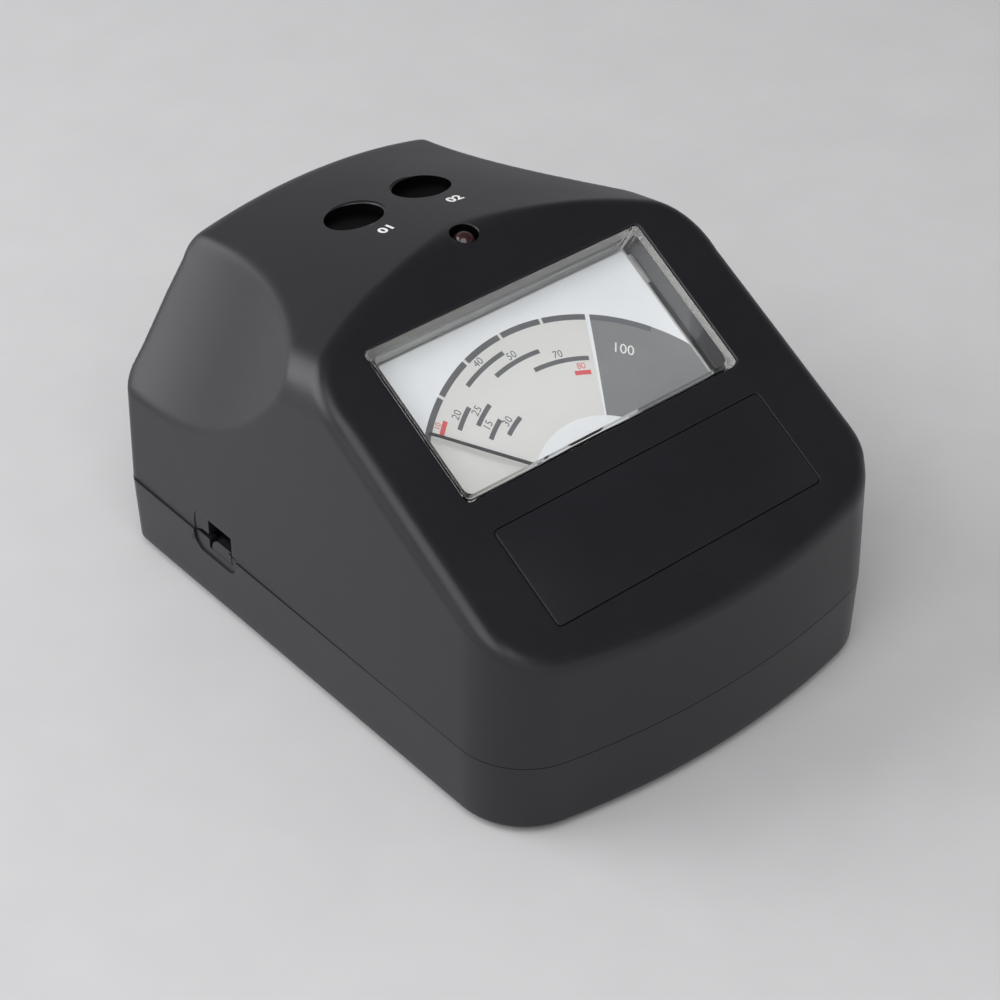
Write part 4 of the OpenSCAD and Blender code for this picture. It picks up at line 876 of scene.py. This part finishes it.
def makeSectorTree():  # bends unit blocks into ring sectors about the pivot
    tree, given = nodeTree("dialSectors", Steps="Int", Thickness="Float", Lift="Float", Paint="Material")

    def calc(operation, *terms):
        return mathNode(tree, operation, *terms)

    def named(label):
        node = tree.nodes.new("GeometryNodeInputNamedAttribute")
        node.data_type = "FLOAT"
        node.inputs["Name"].default_value = label
        return node.outputs["Attribute"]

    block = addLinked(tree, "GeometryNodeMeshCube", Vertices_X=given["Steps"])
    block.inputs["Size"].default_value = (1, 1, 1)
    real = realCopies(tree, given["Geometry"], block.outputs["Mesh"])
    spot = tree.nodes.new("GeometryNodeInputPosition").outputs[0]
    x, y, z = addLinked(tree, "ShaderNodeSeparateXYZ", Vector=spot).outputs
    turn = calc("ADD", named("start"), calc("MULTIPLY", calc("ADD", x, 0.5), named("sweep")))
    radius = calc("ADD", named("radius"), calc("MULTIPLY", y, named("width")))
    aside = calc("MAXIMUM", calc("ABSOLUTE", calc("COSINE", turn)), 0.01)  # never divides by nothing
    radius = calc("MINIMUM", radius, calc("DIVIDE", named("edge"), aside))  # ends at the side of the dial
    place = addLinked(tree, "ShaderNodeCombineXYZ", X=calc("MULTIPLY", radius, calc("COSINE", turn)),
                      Y=calc("MULTIPLY", radius, calc("SINE", turn)),
                      Z=calc("ADD", calc("MULTIPLY", z, given["Thickness"]), given["Lift"]))
    move = addLinked(tree, "GeometryNodeSetPosition", Geometry=real, Position=place.outputs[0])
    return handOver(tree, given, move.outputs["Geometry"])


def makeRowTree():  # a row of equal bars
    tree, given = nodeTree("barRow", Count="Int", Pitch="Vector", Start="Vector", Bar="Vector", Paint="Material")
    row = addLinked(tree, "GeometryNodeMeshLine", Count=given["Count"], Start_Location=given["Start"],
                    Offset=given["Pitch"])
    bar = addLinked(tree, "GeometryNodeMeshCube", Size=given["Bar"])
    return handOver(tree, given, realCopies(tree, row.outputs["Mesh"], bar.outputs["Mesh"]))


def makeCopyTree():  # copies one master piece to each point, each turned by its own angle
    tree, given = nodeTree("pieceCopies", Master="Object", Turn="Float", Seed="Int", Paint="Material")
    master = addLinked(tree, "GeometryNodeObjectInfo", Object=given["Master"])
    chance = tree.nodes.new("FunctionNodeRandomValue")
    chance.data_type = "FLOAT"
    low, high = [s for s in chance.inputs if s.type == "VALUE"][:2]
    low.default_value = 0.0
    tree.links.new(given["Turn"], high)
    tree.links.new(given["Seed"], chance.inputs["Seed"])
    angle = next(s for s in chance.outputs if s.type == "VALUE" and s.enabled)
    spin = addLinked(tree, "ShaderNodeCombineXYZ", Z=angle)
    return handOver(tree, given, realCopies(tree, given["Geometry"], master.outputs["Geometry"],
                                            Rotation=spin.outputs[0]))


trees = {"sectors": makeSectorTree(), "row": makeRowTree(), "copies": makeCopyTree()}


def copyTo(name, master, points, material, turn=0.0, seed=7):
    obj = draw(name, points, [])
    grow(obj, trees["copies"], Master=master, Turn=turn, Seed=seed, Paint=paint[material])
    bpy.data.objects.remove(master, do_unlink=True)
    return obj


door = {"x": 26.9, "half": 19.45, "corner": 0.8, "edge": 0.3, "ease": 0.1, "gripW": 14.0, "grip": 1.2,
        "gripDeep": 0.6, "gripCount": 4, "ribL": 20.0, "ribT": 1.2, "ribTop": 4.0, "ribLap": 0.2}
foot = {"radius": 5.5, "bevel": 0.75, "rim": 0.5, "top": 2.5, "steps": 64}
caseScrew = {"headR": 2.775, "headH": 1.95, "shankR": 1.5, "shankL": 18.0, "headZ": 8.5, "cross": 1.85, "blade": 0.42,
             "crossDeep": 0.4, "shoulder": 0.01, "tip": 1.2, "tipShare": 0.4, "steps": 40, "turn": 1.5, "seed": 11,
             # shares of the head's radius and height
             "dome": [(0.55, 1.0), (0.82, 0.9), (0.96, 0.62), (1.0, 0.3), (1.0, 0.0)]}


def makeDoor():
    d, b = door, base
    low, high = b["bottom"], b["bottom"] + b["doorT"]
    profile = [(low, -d["edge"]), (low + d["ease"], -d["ease"]), (low + d["edge"], 0.0), (high, 0.0)]
    lid = loft("batteryLid", [[(x, b["boxY"] + y, z) for x, y in
                               roundedRect(2 * (d["x"] + g), 2 * (d["half"] + g), d["corner"] + g, 5)]
                              for z, g in profile])
    ribY = b["boxHalf"] - b["fit"] - d["ribT"] / 2
    ribs = [boxSolid("rib", (-d["ribL"] / 2, b["boxY"] + s * ribY - d["ribT"] / 2, high - d["ribLap"]),
                     (d["ribL"] / 2, b["boxY"] + s * ribY + d["ribT"] / 2, d["ribTop"])) for s in (-1, 1)]
    carve(lid, ribs, "UNION")
    first = b["boxY"] + d["half"] - b["ledge"] - 2 * d["grip"] * d["gripCount"]
    grooves = draw("gripGrooves", [(0, 0, 0)], [])
    grow(grooves, trees["row"], Count=d["gripCount"], Pitch=(0, 2 * d["grip"], 0), Start=(0, first, low),
         Bar=(d["gripW"], d["grip"], 2 * d["gripDeep"]), Paint=paint["casePlastic"])
    carve(lid, [grooves])
    settle(lid, "casePlastic", "door", ["battery_door"])


def lathe(name, profile, steps):
    return loft(name, [[(x, y, z) for x, y in circle(r, steps)] for r, z in profile])


def makeFeet():
    f = foot
    flat = f["radius"] - f["bevel"]
    profile = [(flat - f["rim"], 0.0)]
    profile += [(flat + f["bevel"] * s, f["bevel"] * (1 - c)) for s, c in quarterTurn(6, 0)]
    profile.append((f["radius"], f["top"]))
    master = lathe("padMaster", profile, f["steps"])
    pads = copyTo("rubberPads", master, [(x, y, 0) for x, y in base["feet"]], "footRubber")
    settle(pads, "footRubber", "housing", ["rubber_feet"])


def makeScrews():
    s = caseScrew
    profile = [(s["headR"] * r, -s["headH"] * z) for r, z in s["dome"]]
    profile += [(s["shankR"], s["shoulder"]), (s["shankR"], s["shankL"] - s["tip"]),
                (s["shankR"] * s["tipShare"], s["shankL"])]
    master = lathe("screwMaster", profile, s["steps"])
    cross = [boxSolid("crossCut", (-x, -y, -s["headH"] - clearOf), (x, y, -s["headH"] * s["crossDeep"]))
             for x, y in ((s["cross"], s["blade"]), (s["blade"], s["cross"]))]
    carve(master, cross)
    places = [(x, y, s["headZ"]) for x, y in base["posts"]]
    fixings = copyTo("caseFixings", master, places, "screwSteel", s["turn"], s["seed"])
    settle(fixings, "screwSteel", "housing", ["case_screws"])


cover = {"width": 68.9, "height": 34.9, "mid": 58.2, "radius": 1.0, "edge": 0.35, "rim": -9.2, "front": 1.5,
         "side": 1.25, "low": 16.5, "hood": -2.7, "hoodShort": 2.0, "top": 75.65, "skim": 0.001, "roomR": 1.6,
         "sharp": 25.0}
nameplate = {"width": 67.4, "height": 21.5, "mid": 22.85, "radius": 1.0, "edge": 0.12, "ease": 0.3, "depth": 0.8}


def makeCover():
    c = cover
    profile = [(c["rim"], 0.0), (-c["edge"], 0.0)]
    profile += [(-c["edge"] * (1 - s), -c["edge"] * (1 - k)) for s, k in quarterTurn(5)]
    block = panelLoft("clearCover", c["width"], c["height"], c["radius"], c["mid"], profile)
    half, skim, under = c["width"] / 2, c["skim"], c["rim"] - clearOf
    hood = boxSolid("hood", (-half + skim, c["low"], c["rim"] + skim),
                    (half - skim, c["top"] - c["hoodShort"], c["hood"]), onPanel)
    carve(block, [hood], "UNION")
    wide = 2 * (half - c["side"])
    deep = panelLoft("deepRoom", wide, c["top"] - c["low"] - 2 * c["side"], c["roomR"], (c["low"] + c["top"]) / 2,
                     [(under, 0.0), (c["hood"] - c["front"], 0.0)])
    front = panelLoft("frontRoom", wide, c["height"] - 2 * c["side"], c["roomR"], c["mid"],
                      [(under, 0.0), (-c["front"], 0.0)])
    carve(block, [deep, front])
    settle(block, "clearCover", "housing", ["meter_cover"], c["sharp"])


def makeNameplate():
    n = nameplate
    ease = -n["edge"] * n["ease"]
    profile = [(-n["depth"], 0.0), (-n["edge"], 0.0), (ease, ease), (0.0, -n["edge"])]
    plate = panelLoft("barePlate", n["width"], n["height"], n["radius"], n["mid"], profile)
    settle(plate, "platePlastic", "housing", ["nameplate"])


dial = {
    "across": -0.89, "pivot": 30.2, "face": -8.7, "edge": 32.9, "thick": 0.016, "under": 0.012, "over": 0.03,
    # radius at the middle, width, start and end in degrees from the panel's right
    "warm": [(28.57, 22.05, 63.8, 168.0)],
    "dark": [(28.57, 22.05, 12.0, 62.5)],
    "arcs": [(39.0, 1.25, start, end) for start, end in
             ((122.0, 143.5), (107.7, 121.0), (93.1, 106.7), (78.6, 92.1), (63.9, 77.6))],
    "rightArc": [(39.0, 1.25, 43.5, 62.5)],
    "bars": [(radius, 0.95, start, end) for radius, start, end in
             ((35.86, 95.3, 113.3), (33.08, 83.6, 103.4), (29.85, 65.8, 89.4), (33.44, 119.6, 129.0),
              (30.38, 114.1, 124.3), (27.2, 117.0, 127.3), (24.35, 110.0, 121.3))],
    "red": [(36.48, 0.95, 128.1, 133.2), (26.8, 0.95, 66.2, 73.6)],
    # figure, radius, angle, height
    "figures": [(figure, radius, angle, 1.6) for figure, radius, angle in
                (("40", 37.3, 104.3), ("50", 34.55, 93.5), ("70", 31.35, 77.6), ("20", 34.9, 124.3),
                 ("25", 31.85, 119.2), ("15", 28.7, 122.1), ("30", 25.85, 115.7))],
    "redFigures": [("10", 37.66, 130.7, 1.2), ("80", 28.2, 69.9, 1.4)],
    "whiteFigures": [("100", 32.6, 52.0, 2.3)],
}


def onDial(p):
    return onPanel((dial["across"] + p[0], dial["pivot"] + p[1], dial["face"] + p[2]))


def moveTo(obj, place):
    for vertex in obj.data.vertices:
        vertex.co = place(vertex.co)
    obj.data.update()
    return obj


def printBands(name, rows, material, lift, steps):
    obj = draw(name, [(0, 0, 0)] * len(rows), [])
    radius, width, start, end = zip(*rows)
    columns = {"radius": radius, "width": width, "start": [math.radians(a) for a in start],
               "sweep": [math.radians(b - a) for a, b in zip(start, end)],
               "edge": [dial["edge"] + (dial["across"] if b > 90 else -dial["across"]) for b in end]}
    for label, values in columns.items():
        obj.data.attributes.new(label, "FLOAT", "POINT").data.foreach_set("value", values)
    grow(obj, trees["sectors"], Steps=steps, Thickness=dial["thick"], Lift=lift, Paint=paint[material])
    for label in columns:
        if label in obj.data.attributes:
            obj.data.attributes.remove(obj.data.attributes[label])
    moveTo(turnOutwards(obj), onDial)
    settle(obj, material, "housing")


figureScale = 1.37  # font size that makes a figure one unit high


def flatText(figure, height, thick, bold=0.0):
    curve = bpy.data.curves.new("figure", "FONT")
    curve.body, curve.size, curve.extrude = figure, height * figureScale, thick / 2
    curve.align_x, curve.align_y = "CENTER", "CENTER"
    curve.offset, curve.resolution_u = bold, 4
    obj = addObject("figure", curve)
    mesh = evaluated(obj)
    bpy.data.objects.remove(obj, do_unlink=True)
    return mesh


def joinMeshes(name, parts):
    bm = bmesh.new()
    for mesh, place in parts:
        start = len(bm.verts)
        bm.from_mesh(mesh)
        bm.verts.ensure_lookup_table()
        for vertex in bm.verts[start:]:
            vertex.co = place(vertex.co)
    bmesh.ops.remove_doubles(bm, verts=bm.verts, dist=1e-5)
    mesh = bpy.data.meshes.new(name)
    bm.to_mesh(mesh)
    bm.free()
    return addObject(name, mesh)


def printFigures(name, rows, material, lift):
    parts = []
    for figure, radius, angle, height in rows:
        turn, way = math.radians(angle - 90), math.radians(angle)

        def seat(v, c=math.cos(turn), s=math.sin(turn), x=radius * math.cos(way), y=radius * math.sin(way)):
            return onDial((x + v.x * c - v.y * s, y + v.x * s + v.y * c, v.z + lift))

        parts.append((flatText(figure, height, dial["thick"]), seat))
    settle(joinMeshes(name, parts), material, "housing")


def makeDialPrint():
    d = dial
    for name, rows, material, lift, steps in (
            ("dialWarmSector", "warm", "scaleWarm", "under", 96), ("dialDarkSector", "dark", "scaleDark", "under", 48),
            ("dialArcs", "arcs", "scaleGrey", "over", 48), ("dialRightArc", "rightArc", "scaleSlate", "over", 48),
            ("dialBars", "bars", "scaleGrey", "over", 48), ("dialRedBars", "red", "scaleRed", "over", 48)):
        printBands(name, d[rows], material, d[lift], steps)
    for name, rows, material in (("dialFigures", "figures", "scaleGrey"), ("dialRedFigures", "redFigures", "scaleRed"),
                                 ("dialWhiteFigures", "whiteFigures", "labelWhite")):
        printFigures(name, d[rows], material, d["over"])
    print("dial printed")


labels = {"height": 2.5, "thick": 0.03, "bold": 0.1, "lift": 0.012, "under": -5.0, "over": 3.0,
          "figures": [("01", -8.65, -10.9), ("02", 8.65, -10.9)]}


def makeLabels():
    d, parts = labels, []
    for figure, x, y in d["figures"]:

        def seat(v, x=x, y=y):  # laid on the crowned deck
            origin, aim = (np.array([onDeck((x + v.x, y + v.y, z))]) for z in (d["under"], d["over"]))
            return tuple(reach(origin, aim, d["lift"] + v.z)[0])

        parts.append((flatText(figure, d["height"], d["thick"], d["bold"]), seat))
    settle(joinMeshes("wellFigures", parts), "labelWhite", "housing")


setCamera()
setLight()
corners = [(x * studio["floorSize"], y * studio["floorSize"], 0) for x, y in ((-1, -1), (1, -1), (1, 1), (-1, 1))]
floor = draw("floor", corners, [(0, 1, 2, 3)])
floor.data.materials.append(paint["floorPale"])
paintNodes()
makeUpperShell()
makeBaseShell()
makeDoor()
makeFeet()
makeScrews()
makeCover()
makeNameplate()
makeDialPrint()
makeLabels()
print("pieces made")
